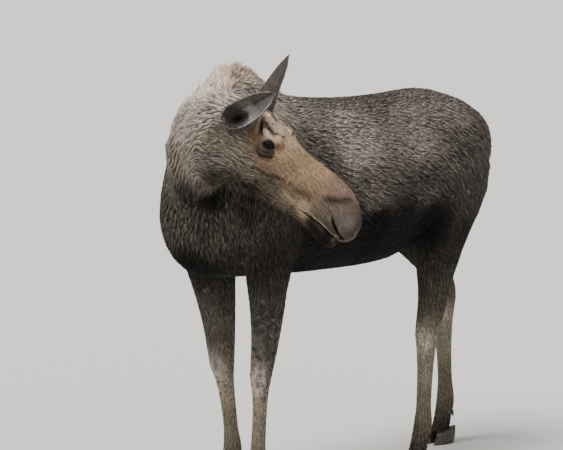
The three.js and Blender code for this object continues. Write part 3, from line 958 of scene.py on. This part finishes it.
# ---- the skin
BROW_AT, BROW_REACH = (68, -165, -35), 85
NOSTRIL_AT, NOSTRIL_REACH = (60, -620, -85), 55
LIDS_REACH = 28
NEAR_FLOOR = 0.02  # metres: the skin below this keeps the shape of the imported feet


@dataclass
class Skin:
    """One skin over all the flesh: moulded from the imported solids, smoothed and sculpted.

    Sizes are in millimetres.
    """

    grain: float = 4.5
    grow: float = 0.5
    body_rounds: float = 70.0
    own_rounds: tuple[tuple[Region, int], ...] = (
        (Region.LEGS, 26),
        (Region.HEAD, 12),
        (Region.EARS, 2),
        (Region.TAIL, 8),
    )
    faces: int = 185_000
    # how dark the skin is painted under the body's coat: painted shade deep in the hair
    deep_coat_shade: float = 0.6
    piece: Piece = field(init=False)
    nodes: list[str] = field(init=False)

    def build(self) -> Piece:
        """Makes the skin from start to finish."""
        self.nodes = [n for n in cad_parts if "claw" not in n and not n.startswith("eye")]
        self.mould()
        self.even_out()
        self.sculpt_body()
        self.lower_under_coat()
        self.sculpt_head()
        self.thin_out()
        self.unwrap()
        self.colour()
        self.piece.name = "skin"
        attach(self.piece, "root")
        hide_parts(*self.nodes)
        return self.piece

    def mould(self) -> None:
        """Joins slightly grown copies of the solids, fills the eye sockets and skins it all over."""
        copies = []
        for name in self.nodes:
            copy = bpy.data.objects.new(f"flesh_{name}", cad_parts[name].data.copy())
            bpy.context.scene.collection.objects.link(copy)
            edit(copy)
            bpy.ops.mesh.remove_doubles(threshold=1e-5)
            done()
            modify(copy, "DISPLACE", strength=self.grow * MM, mid_level=0.0)
            copies.append(copy)
        for eye in EYES:
            bpy.ops.mesh.primitive_uv_sphere_add(
                segments=48, ring_count=24, radius=eye.radius + MM, location=centre_of(eye.node)
            )
            copies.append(bpy.context.object)
        bpy.ops.object.select_all(action="DESELECT")
        for copy in copies:
            copy.select_set(True)
        bpy.context.view_layer.objects.active = copies[0]
        bpy.ops.object.join()
        self.piece = copies[0]
        modify(self.piece, "REMESH", mode="VOXEL", voxel_size=self.grain * MM, adaptivity=0.0)
        self.piece.data.materials.clear()
        self.drop_crumbs()

    def drop_crumbs(self) -> None:
        """Removes any loose crumb that the skinning left."""
        only(self.piece)
        bpy.ops.object.mode_set(mode="EDIT")
        bpy.ops.mesh.select_all(action="SELECT")
        bpy.ops.mesh.separate(type="LOOSE")
        done()
        shells = sorted(bpy.context.selected_objects, key=lambda shell: len(shell.data.vertices))
        self.piece = shells.pop()
        for shell in shells:
            bpy.data.objects.remove(shell)

    def soften(self, values: Array, rounds: Array) -> Array:
        """Spreads values over the skin's net of edges.

        Args:
            values: A row for each vertex.
            rounds: For how many rounds each vertex takes part.

        Returns:
            The values, each drawn towards its neighbours' mean.
        """
        ends = pull(self.piece.data.edges, "vertices", 2, np.int32)
        values, count = values.copy(), len(values)
        degree = np.maximum(np.bincount(ends.ravel(), minlength=count), 1.0)
        for turn in range(int(np.ceil(rounds.max()))):
            share = 0.9 * np.clip(rounds - turn, 0, 1)
            busy = np.flatnonzero((share[ends] > 0).any(1))
            a, b = ends[busy, 0], ends[busy, 1]
            for column in range(values.shape[1]):
                value = values[:, column]
                total = np.bincount(a, value[b], count) + np.bincount(b, value[a], count)
                values[:, column] = value + (total / degree - value) * share
        return values

    def relax(self, rounds: Array) -> None:
        """Smooths the skin and swells it again by what that shrank it."""
        before = spots_of(self.piece)
        after = self.soften(before, rounds)
        put(self.piece, after)
        normals = normals_of(self.piece)
        loss = ((before - after) * normals).sum(1, keepdims=True)
        loss = self.soften(loss, np.minimum(rounds * 2, 40.0))
        put(self.piece, after + normals * loss)

    def even_out(self) -> None:
        """Smooths away the facets and the seams between the solids."""
        places = spots_of(self.piece)
        rounds = np.full(len(places), self.body_rounds)
        for region, own in self.own_rounds:
            rounds += (own - rounds) * share_of(region, places)
        rounds[places[:, 2] < NEAR_FLOOR] = 0
        self.relax(rounds)

    def sculpt_body(self) -> None:
        """Presses the muscles and bones that show under the coat."""
        places = spots_of(self.piece)
        rise = pressed(BODY_STROKES, BODY, places)
        put(self.piece, places + normals_of(self.piece) * rise[:, None] * MM)

    def lower_under_coat(self) -> None:
        """Sinks the skin by the depth of the coat."""
        places, normals = spots_of(self.piece), normals_of(self.piece)
        depth = depth_of(read_coat(places, normals))
        ground = smooth(places[:, 2], NEAR_FLOOR, 4 * NEAR_FLOOR)
        put(self.piece, places - normals * (depth * (0.25 + 0.75 * ground))[:, None] * MM)

    def sculpt_head(self) -> None:
        """Refines the face and sculpts its folds, lids, nostrils and mouth."""
        self.refine([HEAD.world(np.array(BROW_AT) * (side, 1, 1)) for side in (1, -1)], BROW_REACH)
        self.refine([eye.axes().origin for eye in EYES], LIDS_REACH)
        self.refine([HEAD.world(np.array(NOSTRIL_AT) * (side, 1, 1)) for side in (1, -1)], NOSTRIL_REACH)
        places = spots_of(self.piece)
        along = HEAD.local(places)[:, 1]
        rounds = 3.0 * (share_of(Region.HEAD, places) > 0.99)
        rounds *= (np.abs(along + 200) < 60) | (along < -560)
        self.relax(rounds)
        places = spots_of(self.piece)
        plain = self.piece.data.attributes.new("plain", "FLOAT_VECTOR", "POINT")
        plain.data.foreach_set("vector", places.astype(np.float32).ravel())
        rise = pressed(FACE_STROKES, HEAD, places) * share_of(Region.HEAD, places)
        places = places + normals_of(self.piece) * rise[:, None] * MM
        for eye in EYES:
            places = eye.lids(places)
        for ear in EARS:
            places = ear.hollowed(places)
        put(self.piece, places)

    def refine(self, centres: list[Array], reach: float) -> None:
        """Subdivides the skin round some places."""
        places = spots_of(self.piece)
        chosen = np.zeros(len(places), bool)
        for centre in centres:
            chosen |= np.linalg.norm(places - centre, axis=1) < reach * MM
        edit(self.piece, chosen)
        bpy.ops.mesh.subdivide(number_cuts=1)
        done()

    def thin_out(self) -> None:
        """Turns the skin to triangles, and leaves fewer of them away from the face."""
        modify(self.piece, "TRIANGULATE", quad_method="FIXED", ngon_method="BEAUTY")
        places = spots_of(self.piece)
        body = np.maximum(share_of(Region.HEAD, places), share_of(Region.EARS, places)) < 0.02
        corners = pull(self.piece.data.polygons, "vertices", 3, np.int32)
        plain = body[corners].all(1).sum()
        rest = len(corners) - plain
        log.info("skin: %d faces on the head and ears, %d elsewhere", rest, plain)
        edit(self.piece, body)
        bpy.ops.mesh.decimate(ratio=max(self.faces - rest, 50_000) / plain)
        done()
        modify(self.piece, "TRIANGULATE")

    def unwrap(self) -> None:
        """Unwraps the skin; the coat's tufts take their places from this map."""
        self.piece.data.uv_layers.new(name="OFBake")
        edit(self.piece)
        bpy.ops.uv.smart_project(angle_limit=1.15, island_margin=0.004, scale_to_bounds=True)
        done()
        only(self.piece)
        bpy.ops.object.shade_smooth()

    def colour(self) -> None:
        """Paints the coat's markings on the skin, with the bare places of the face, and darkens the skin
        under the coat as painted shade deep in the hair.
        """
        places, normals = plain_of(self.piece), normals_of(self.piece)
        coat = read_coat(places, normals)
        tint, bare = markings(coat, places)
        open_hide = np.maximum(share_of(Region.HEAD, places), share_of(Region.EARS, places))
        # painted shade: the skin under the body's coat is darker, on the face and the ears only a little
        shade = self.deep_coat_shade + (0.95 - self.deep_coat_shade) * open_hide
        paint(self.piece.data, "tint", tint * shade[:, None])
        paint(self.piece.data, "bare", bare)


def markings(coat: Sample, places: Array) -> tuple[Array, Array]:
    """The coat's colours with the marks of the face, which include painted shade and painted highlight,
    and the dark rims of the eyes, painted darker above as painted shade under the brow.

    Args:
        coat: The coat at the places.
        places: World places.

    Returns:
        The colours, and how bare of hair each place is.
    """
    tint = coat.colour.copy()
    bare = np.zeros(len(places))
    face = np.flatnonzero(share_of(Region.HEAD, places) > 0.5)
    tint[face], bare[face] = marked(tint[face], HEAD.local(places[face]))
    for eye in EYES:
        local = eye.axes().local(places)
        near = np.flatnonzero((np.linalg.norm(local, axis=1) < 50) & (local[:, 2] > 0))
        out = eye.beyond(local[near])
        # the lids are dark skin; the upper lid is painted darker than the lower, with a wider black edge,
        # as painted shade under the brow
        above = smooth(local[near, 1], -5, 5)
        ring = 1 - smooth(out, 10, 17)
        lid = blend(srgb("3d362e"), "1f1813", above)
        edge = 1 - smooth(out - 2 * above, 2.0, 5.0)
        tint[near] = blend(blend(tint[near], lid, 0.9 * ring), "0c0a09", edge)
        bare[near] = np.maximum(bare[near], 1 - smooth(out, 5.0, 9.0))
    return tint, bare


# ---- the coat
class Zone(Enum):
    """The stretches of the coat, each a piece of its own."""

    FACE_LEFT = "coat_face_left"
    FACE_RIGHT = "coat_face_right"
    EARS = "coat_ears"
    CREST = "coat_crest"
    NECK = "coat_neck"
    SHOULDER_LEFT = "coat_shoulder_left"
    SHOULDER_RIGHT = "coat_shoulder_right"
    FLANK_LEFT = "coat_flank_left"
    FLANK_RIGHT = "coat_flank_right"
    RUMP_LEFT = "coat_rump_left"
    RUMP_RIGHT = "coat_rump_right"
    FORELEGS = "coat_forelegs"
    HINDLEGS = "coat_hindlegs"


SHOULDER_ENDS, RUMP_STARTS = -330, 420  # along the body
NECK_STARTS, NECK_LOW = -800, 1250  # along the body, and above the floor
STANDING = 0.42  # the lift of the crest's hair


def zones_of(places: Array, coat: Sample) -> Array:
    """The number of the zone that each place belongs to, in the order of Zone."""
    number = {zone: i for i, zone in enumerate(Zone)}
    x, y, z = BODY.local(places).T
    left, everywhere = x > 0, np.ones(len(places), bool)
    face, face_left = share_of(Region.HEAD, places) > 0.5, HEAD.local(places)[:, 0] > 0
    part = np.where(left, number[Zone.FLANK_LEFT], number[Zone.FLANK_RIGHT])
    for here, first, zone, other in (
        (y < SHOULDER_ENDS, left, Zone.SHOULDER_LEFT, Zone.SHOULDER_RIGHT),
        (y > RUMP_STARTS, left, Zone.RUMP_LEFT, Zone.RUMP_RIGHT),
        ((y < NECK_STARTS) & (z > NECK_LOW), everywhere, Zone.NECK, Zone.NECK),
        (coat.lift > STANDING, everywhere, Zone.CREST, Zone.CREST),
        (share_of(Region.LEGS, places) > 0.5, y < 0, Zone.FORELEGS, Zone.HINDLEGS),
        (face, face_left, Zone.FACE_LEFT, Zone.FACE_RIGHT),
        (share_of(Region.EARS, places) > 0.5, everywhere, Zone.EARS, Zone.EARS),
    ):
        part = np.where(here, np.where(first, number[zone], number[other]), part)
    return part


@dataclass
class Coat:
    """The coat of hair: thin solid tufts that lie along the skin.

    A tuft is a thin kite of four faces: its root is under the skin, and its edges and its tip
    are given as shares along the lie, of the width, of the rise, and of the width upwards.
    Sizes are in millimetres.
    """

    seed: int = 7
    most: int = 40_000
    slender: float = 0.065
    stout: float = 0.42
    sunk: float = 2.0
    lock: tuple[float, float] = (4.5, 7.0)
    kite: tuple[tuple[float, ...], ...] = ((0.42, -0.5, 0.55, 0.2), (0.42, 0.5, 0.55, 0.2), (1, 0, 1, 0))
    patch: float = 0.003
    own_cover: tuple[tuple[Region, float], ...] = (
        (Region.LEGS, 0.85),
        (Region.HEAD, 0.86),
        (Region.EARS, 0.36),
    )
    pale: str = "e6d8ca"
    pieces: list[Piece] = field(default_factory=list)

    def build(self, skin: Piece) -> list[Piece]:
        """Covers the skin, a zone at a time."""
        roots = self.scatter(skin)
        for number, zone in enumerate(Zone):
            mine = np.flatnonzero(roots["zone"] == number)
            piece = self.weave(zone, {name: value[mine] for name, value in roots.items()})
            log.info("%s: %d tufts", zone.value, len(mine))
            self.pieces.append(piece)
        return self.pieces

    def width_of(self, length: Array, lift: Array) -> Array:
        """A tuft's width: hair that stands is finer for its length than hair that lies."""
        return self.stout + self.slender * length * (1 - 0.65 * smooth(lift, 0.2, 0.55))

    def cover(self, places: Array, coat: Sample, bare: Array) -> Array:
        """How many times over the tufts cover the skin at each place."""
        cover = 1.6 + 4.0 * smooth(coat.lift, 0.2, 0.6)
        for region, own in self.own_cover:
            cover += (own - cover) * share_of(region, places)
        return cover * (1 - smooth(bare, 0.15, 0.5)) * smooth(places[:, 2], 0.01, 0.03)

    def scatter(self, skin: Piece) -> dict[str, Array]:
        """Sows the roots over the skin, evenly by the area that a tuft covers.

        Args:
            skin: The finished skin, with its unwrap.

        Returns:
            By name, a value for each root.
        """
        corners = pull(skin.data.polygons, "vertices", 3, np.int32)
        flat = pull(skin.data.uv_layers["OFBake"].data, "uv", 2).reshape(-1, 3, 2).astype(float)
        places, normals, plain = spots_of(skin), normals_of(skin), plain_of(skin)
        triangles = places[corners]
        cross = np.cross(triangles[:, 1] - triangles[:, 0], triangles[:, 2] - triangles[:, 0])
        area = np.linalg.norm(cross, axis=1) / 2 / MM**2
        middle = plain[corners].mean(1)
        coat = read_coat(middle, unit(cross))
        bare = markings(coat, middle)[1]
        footprint = 0.5 * coat.length * self.width_of(coat.length, coat.lift)
        wanted = area * self.cover(middle, coat, bare) / footprint
        zone = zones_of(middle, coat)
        for number in range(len(Zone)):
            mine = zone == number
            wanted[mine] *= min(1.0, self.most / max(wanted[mine].sum(), 1.0))
        random = np.random.default_rng(self.seed)
        sum_up = np.cumsum(wanted)
        picks = np.searchsorted(sum_up, np.arange(0.5, sum_up[-1]) + random.uniform(-0.4, 0.4))
        picks = np.minimum(picks, len(corners) - 1)
        a, b = random.uniform(size=(2, len(picks)))
        fold = a + b > 1
        a, b = np.where(fold, 1 - a, a), np.where(fold, 1 - b, b)
        weight = np.stack([1 - a - b, a, b], 1)[:, :, None]
        at = (triangles[picks] * weight).sum(1)
        normal = unit((normals[corners[picks]] * weight).sum(1))
        flat_at = (plain[corners[picks]] * weight).sum(1)
        here = read_coat(flat_at, normal)
        return {
            "at": at,
            "normal": normal,
            "uv": (flat[picks] * weight).sum(1),
            "zone": zones_of(flat_at, here),
            "lie": here.lie,
            "tint": markings(here, flat_at)[0],
            "length": here.length,
            "lift": here.lift,
            "pale": here.pale,
            "chance": random.uniform(size=(len(picks), 6)),
        }

    def weave(self, zone: Zone, roots: dict[str, Array]) -> Piece:
        """Makes the tufts of one zone as one mesh.

        Args:
            zone: The zone.
            roots: Its roots.

        Returns:
            The piece, with its colours and its bake map.
        """
        at, normal, chance = roots["at"], roots["normal"], roots["chance"]
        count = len(at)
        side = np.cross(roots["lie"], normal)
        lock, off = self.lock_of(roots)
        length = roots["length"] * (0.7 + 0.6 * chance[:, 1])
        sway = 0.16 * (chance[:, 0] - 0.5) + 0.34 * (lock[:, 0] - 0.5) + 0.2 * ripple(at, 0.11, 3)
        sway -= 0.7 * off / length
        lie = unit(roots["lie"] + side * sway[:, None])
        side = np.cross(lie, normal)
        width = self.width_of(length, roots["lift"]) * (0.75 + 0.5 * chance[:, 2])
        lift = roots["lift"] * (0.6 + 0.3 * chance[:, 3] + 0.5 * lock[:, 1])
        rise = length * (0.12 + 0.62 * lift)
        run = np.sqrt(np.maximum(length**2 - rise**2, 0.05 * length**2))
        points = np.empty((count, 4, 3))
        points[:, 0] = at + MM * (normal * -self.sunk)
        for corner, (along, across, up, thick) in enumerate(self.kite, 1):
            points[:, corner] = at + MM * (
                lie * (run * along)[:, None]
                + side * (width * across)[:, None]
                + normal * (rise * up + thick * width)[:, None]
            )
        faces = np.array([(0, 1, 3), (0, 3, 2), (0, 2, 1), (3, 1, 2)])
        mesh = bpy.data.meshes.new(zone.value)
        mesh.vertices.add(count * 4)
        mesh.vertices.foreach_set("co", points.astype(np.float32).ravel())
        corners = (np.arange(count)[:, None, None] * 4 + faces).astype(np.int32).ravel()
        mesh.loops.add(len(corners))
        mesh.loops.foreach_set("vertex_index", corners)
        mesh.polygons.add(count * 4)
        mesh.polygons.foreach_set("loop_start", np.arange(0, len(corners), 3, dtype=np.int32))
        mesh.update(calc_edges=True)
        self.lay_out(mesh, roots["uv"], faces)
        paint(mesh, "tint", self.tints(roots, lock))
        piece = bpy.data.objects.new(zone.value, mesh)
        bpy.context.scene.collection.objects.link(piece)
        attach(piece, "root")
        return piece

    def lock_of(self, roots: dict[str, Array]) -> tuple[Array, Array]:
        """Sorts the tufts into locks, which are narrow and run along the lie.

        Args:
            roots: The roots.

        Returns:
            Three chances that the tufts of one lock share, and how far each root lies beside
            the middle of its lock, in millimetres.
        """
        at = roots["at"]
        block = np.floor(at * 10)
        near = (at - (block + 0.5) / 10) / MM
        wide = self.lock[0] + 0.08 * roots["length"]
        across = (near * np.cross(roots["lie"], roots["normal"])).sum(1) / wide
        across += 0.6 * ripple(at, 0.05, 21)
        long = self.lock[1] + 0.38 * roots["length"]
        along = (near * roots["lie"]).sum(1) / long + 0.37 * np.floor(across)
        cell = np.column_stack([block, np.floor(across), np.floor(along)]).astype(np.int64)
        mixed = cell @ np.array([73856093, 19349663, 83492791, 49979687, 67867979])
        spin = np.array([0.754877666, 0.569840291, 0.438579021])
        return (np.abs(mixed) % 1_000_003)[:, None] * spin % 1.0, (across % 1 - 0.5) * wide

    def lay_out(self, mesh: bpy.types.Mesh, flat: Array, faces: Array) -> None:
        """Writes the bake map: each tuft is a small patch at its root's place on the skin's map."""
        spread = np.array([(0, -1), (-0.5, 0), (0.5, 0), (0, 1)]) * self.patch / 2
        uv = flat[:, None, :] + spread[None]
        layer = mesh.uv_layers.new(name="OFBake")
        layer.data.foreach_set("uv", uv[:, faces.ravel()].astype(np.float32).ravel())

    def tints(self, roots: dict[str, Array], lock: Array) -> Array:
        """Colours the tufts, lock by lock: dark ones, and grizzled ones that end in pale tips, with roots
        painted darker as painted shade deep in the coat and standing hair painted lighter, partly as
        painted light on top.
        """
        at, chance, tint = roots["at"], roots["chance"], roots["tint"]
        cloud = 1 + 0.12 * ripple(at, 0.20, 11) + 0.08 * ripple(at, 0.05, 12)
        swing = 0.6 + 0.4 * np.minimum(1.0, roots["pale"] / 0.5)
        mood = 0.92 + swing * (0.3 * (chance[:, 4] - 0.5) + 1.45 * (lock[:, 2] - 0.5))
        # standing hair is painted lighter, partly as painted light where the crest stands up into the
        # light from above
        mood += 0.3 * smooth(roots["lift"], 0.3, 0.6)
        body = tint * (cloud * mood)[:, None]
        low, high = 0.93 - 0.85 * roots["pale"], 1.1 - 0.5 * roots["pale"]
        grey = smooth(0.3 * chance[:, 5] + 0.7 * lock[:, 1], low, high)
        ease = np.minimum(1.0, tint.mean(1) / 0.25) ** 0.75
        tip = body + (srgb(self.pale) * ease[:, None] - body) * (0.9 * grey)[:, None]
        middle = body + (tip - body) * 0.65
        # the root is painted darker: painted shade deep in the coat
        return np.stack([body * 0.7, middle, middle, tip], 1).reshape(-1, 3)


# ---- eyes and feet
@dataclass
class Eyeball:
    """A wet eye: dark brown, with the cow's level pupil and a dull edge."""

    eye: Eye
    pupil: tuple[float, float] = (0.46, 0.26)
    iris: float = 0.62

    def build(self) -> Piece:
        """Makes the ball in its socket and paints the iris on it."""
        axes = self.eye.axes()
        bpy.ops.mesh.primitive_uv_sphere_add(
            segments=64, ring_count=32, radius=self.eye.radius, location=axes.origin
        )
        ball = bpy.context.object
        only(ball)
        bpy.ops.object.transform_apply(location=True)
        modify(ball, "SUBSURF", levels=1, render_levels=1)
        bpy.ops.object.shade_smooth()
        local = axes.local(spots_of(ball)) / (self.eye.radius / MM)
        put(ball, axes.world(self.bulged(local) * self.eye.radius / MM))
        across, up = local[:, 0], local[:, 1]
        front = local[:, 2] > 0
        slit = np.hypot(across / self.pupil[0], up / self.pupil[1])
        disc = np.hypot(across, up) / self.iris
        tint = np.tile(srgb("120c09"), (len(local), 1))
        rays = 0.8 + 0.2 * np.sin(np.arctan2(up, across) * 46)
        for tone, part in (
            (srgb("1d120b") * rays[:, None], 1 - smooth(disc, 0.94, 1.0)),
            ("0e0906", smooth(disc, 0.86, 0.96) * (disc < 1.04)),
            ("050406", 1 - smooth(slit, 0.9, 1.05)),
        ):
            tint = blend(tint, tone, front * part)
        paint(ball.data, "tint", tint)
        ball.name = self.eye.node + "_ball"
        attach(ball, "root")
        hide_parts(self.eye.node)
        return ball

    def bulged(self, local: Array) -> Array:
        """Swells the cornea a little out of the ball."""
        off = np.hypot(local[:, 0], local[:, 1])
        swell = 1 + 0.035 * (1 - smooth(off, 0.3, 0.72)) * (local[:, 2] > 0)
        return local * swell[:, None]


@dataclass
class Hooves:
    """The horn of the feet: two main claws and two dewclaws to each foot.

    The grain is in millimetres. A claw whose lowest point is under on_floor, in metres, stands.
    """

    grain: float = 2.2
    rounds: int = 34
    on_floor: float = 0.005
    pieces: list[Piece] = field(default_factory=list)

    def build(self) -> list[Piece]:
        """Rounds a copy of each packed claw."""
        for name in (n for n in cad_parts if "claw" in n):
            claw = bpy.data.objects.new(f"{name}_horn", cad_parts[name].data.copy())
            bpy.context.scene.collection.objects.link(claw)
            edit(claw)
            bpy.ops.mesh.remove_doubles(threshold=1e-5)
            bpy.ops.mesh.dissolve_limited(angle_limit=math.radians(3))
            done()
            modify(claw, "REMESH", mode="VOXEL", voxel_size=self.grain * MM, adaptivity=0.0)
            modify(claw, "SMOOTH", factor=0.7, iterations=self.rounds)
            self.settle(claw, box_of(name)[0, 2])
            modify(claw, "DECIMATE", ratio=0.4)
            claw.data.materials.clear()
            only(claw)
            bpy.ops.object.shade_smooth()
            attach(claw, "root")
            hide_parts(name)
            self.pieces.append(claw)
        return self.pieces

    def settle(self, claw: Piece, floor: float) -> None:
        """Keeps a claw that stands on the floor flat on it."""
        places = spots_of(claw)
        if floor < self.on_floor:
            lowest = places[:, 2].min()
            places[:, 2] = np.where(places[:, 2] < lowest + 1.5 * MM, floor, places[:, 2])
        put(claw, places)


# ---- finishes
@dataclass
class Finish:
    """A material, and the helpers that build it."""

    name: str
    rough: float
    shine: float = 0.5
    made: bpy.types.Material = field(init=False)

    def __post_init__(self) -> None:
        """Starts the material with its roughness and its specular level."""
        self.made = bpy.data.materials.new(self.name)
        self.made.use_nodes = True
        self.put("Roughness", self.rough)
        self.put("Specular IOR Level", self.shine)

    @property
    def shader(self) -> bpy.types.Node:
        """The material's shader."""
        return self.made.node_tree.nodes["Principled BSDF"]

    def put(self, name: str, value: object) -> None:
        """Sets an input of the shader, or links an output to it."""
        if isinstance(value, Socket):
            self.made.node_tree.links.new(value, self.shader.inputs[name])
        else:
            self.shader.inputs[name].default_value = value

    def add(
        self, kind: str, result: str, links: dict[str, object] | None = None, **settings: object
    ) -> Socket:
        """Adds a node and gives one of its outputs."""
        return add_node(self.made.node_tree, "ShaderNode" + kind, links, **settings).outputs[result]

    def noise(self, scale: float, detail: float) -> Socket:
        """Noise that is fixed to the piece."""
        place = self.add("TexCoord", "Object")
        return self.add("TexNoise", "Fac", {"Vector": place, "Scale": scale, "Detail": detail})

    def spread(
        self, value: Socket, to: tuple[float, float], start: float = 0.0, end: float = 1.0
    ) -> Socket:
        """Turns the values from start to end into another range."""
        span = {"From Min": start, "From Max": end, "To Min": to[0], "To Max": to[1]}
        return self.add("MapRange", "Result", {"Value": value, **span})

    def tinted(self, shade: Socket) -> None:
        """Colours the piece by its own tint times a shade."""
        tint = self.add("Attribute", "Color", attribute_name="tint")
        mixed = self.add("VectorMath", "Vector", {"Vector": tint, "Scale": shade}, operation="SCALE")
        self.put("Base Color", mixed)

    def bumped(self, height: Socket, strength: float | Socket, distance: float) -> None:
        """Gives the piece a fine relief, with its depth in millimetres."""
        links = {"Height": height, "Strength": strength, "Distance": distance * MM}
        self.put("Normal", self.add("Bump", "Normal", links))


def hair() -> bpy.types.Material:
    """Guard hair: dry, faintly glossy, with no two strands of quite the same shade."""
    finish = Finish("guard_hair", 0.68, 0.1)
    # strands about 2 mm apart, drawn as spots because the tufts give the direction
    finish.tinted(finish.spread(finish.noise(450.0, 2.0), (0.75, 1.2), 0.3, 0.7))
    return finish.made


def short_fur() -> bpy.types.Material:
    """Hide under short flat hair: matt and mottled, and darker, smoother skin where it is bare."""
    finish = Finish("hide_and_short_fur", 0.7, 0.06)
    bare = finish.add("Attribute", "Fac", attribute_name="bare")
    # locks of short hair, 5 to 7 mm across, and cloudy patches a hand wide
    locks, cloud = finish.noise(160.0, 4.0), finish.noise(11.0, 3.0)
    both = finish.add("Math", "Value", {"Value": locks, "Value_001": cloud}, operation="ADD")
    finish.tinted(finish.spread(both, (0.45, 1.45), 0.7, 1.3))
    finish.put("Roughness", finish.spread(bare, (0.7, 0.5)))
    finish.bumped(locks, finish.spread(bare, (0.6, 0.1)), 2.0)
    return finish.made


def wet_eye() -> bpy.types.Material:
    """A living eye: dark iris under a clear wet cornea, which gives it its one sharp glint."""
    finish = Finish("wet_eye", 0.3, 0.0)
    # threads of the iris, under a millimetre wide
    finish.tinted(finish.spread(finish.noise(900.0, 2.0), (0.7, 1.3)))
    finish.put("Coat Weight", 0.2)
    finish.put("Coat Roughness", 0.03)
    return finish.made


def hoof_horn() -> bpy.types.Material:
    """Hoof horn: near-black brown keratin, mottled and dull, with level growth rings."""
    finish = Finish("hoof_horn", 0.45)
    ramp = finish.add("ValToRGB", "Color", {"Fac": finish.noise(70.0, 5.0)})
    for stop, place, colour in zip(ramp.node.color_ramp.elements, (0.35, 0.7), ("1d1a17", "4a4238")):
        stop.position = place
        stop.color = (*srgb(colour), 1)
    finish.put("Base Color", ramp)
    # growth rings about 6 mm apart, level like the crown of the claw
    waves = {"Vector": finish.add("TexCoord", "Object"), "Scale": 26.0, "Distortion": 2.5, "Detail": 2.0}
    finish.bumped(finish.add("TexWave", "Fac", waves, bands_direction="Z"), 0.4, 0.8)
    return finish.made


# ---- the studio
@dataclass
class Studio:
    """A pale floor, soft light and the camera. The target is in the body's frame, in millimetres."""

    floor: str = "d6d5d1"
    floor_size: float = 160.0
    target: tuple[float, float, float] = (70, -357, 1160)
    azimuth: float = 42.0
    elevation: float = 8.0
    distance: float = 11.5
    sensor: float = 36.0
    lens: float = 179.04

    def build(self) -> None:
        """Sets up everything round the animal."""
        self.lay_floor()
        self.light()
        self.aim()

    def lay_floor(self) -> None:
        """A floor of pale matt linoleum."""
        bpy.ops.mesh.primitive_plane_add(size=self.floor_size)
        floor = bpy.context.object
        floor.name = "floor"
        finish = Finish("pale_floor", 0.9, 0.1)
        finish.put("Base Color", (*srgb(self.floor), 1))
        dress(floor, finish.made)

    def light(self) -> None:
        """A wide soft sky from above, and even fill from all round."""
        world = bpy.context.scene.world or bpy.data.worlds.new("studio")
        bpy.context.scene.world = world
        world.use_nodes = True
        sky = world.node_tree.nodes["Background"].inputs
        sky["Color"].default_value = (*srgb("f4f4f3"), 1)
        sky["Strength"].default_value = 0.62
        for name, strength, angle, turn in (
            ("key", 4.2, 36, (28, -12, 20)),
            ("fill", 0.6, 60, (62, 0, 75)),
        ):
            data = bpy.data.lights.new(name, "SUN")
            data.energy = strength
            data.angle = math.radians(angle)
            lamp = bpy.data.objects.new(name, data)
            lamp.rotation_euler = [math.radians(part) for part in turn]
            bpy.context.scene.collection.objects.link(lamp)

    def aim(self) -> None:
        """The camera, from ahead and to her left, a little above her back."""
        azimuth, elevation = math.radians(self.azimuth), math.radians(self.elevation)
        level = math.cos(elevation)
        back = Vector((math.sin(azimuth) * level, -math.cos(azimuth) * level, math.sin(elevation)))
        data = bpy.data.cameras.new("camera")
        data.sensor_width = self.sensor
        data.lens = self.lens
        data.clip_end = 500
        camera = bpy.data.objects.new("camera", data)
        camera.location = Vector(BODY.world(np.array(self.target))) + back * self.distance
        camera.rotation_euler = back.to_track_quat("Z", "Y").to_euler()
        bpy.context.scene.collection.objects.link(camera)
        bpy.context.scene.camera = camera


def dress(piece: Piece, material: bpy.types.Material) -> None:
    """Gives a piece its one material."""
    piece.data.materials.clear()
    piece.data.materials.append(material)


def main() -> None:
    """Builds the moose, piece by piece."""
    logging.basicConfig(level=logging.INFO, format="%(relativeCreated)7.0f ms  %(message)s")
    Studio().build()
    log.info("studio built")
    skin = Skin().build()
    dress(skin, short_fur())
    log.info("skin: %d faces", len(skin.data.polygons))
    eye_finish, horn, guard_hair = wet_eye(), hoof_horn(), hair()
    for eye in EYES:
        dress(Eyeball(eye).build(), eye_finish)
        log.info("%s built", eye.node)
    for claw in Hooves().build():
        dress(claw, horn)
    log.info("hooves built")
    for piece in Coat().build(skin):
        dress(piece, guard_hair)
    log.info("sizes written")


if __name__ == "__main__":
    main()
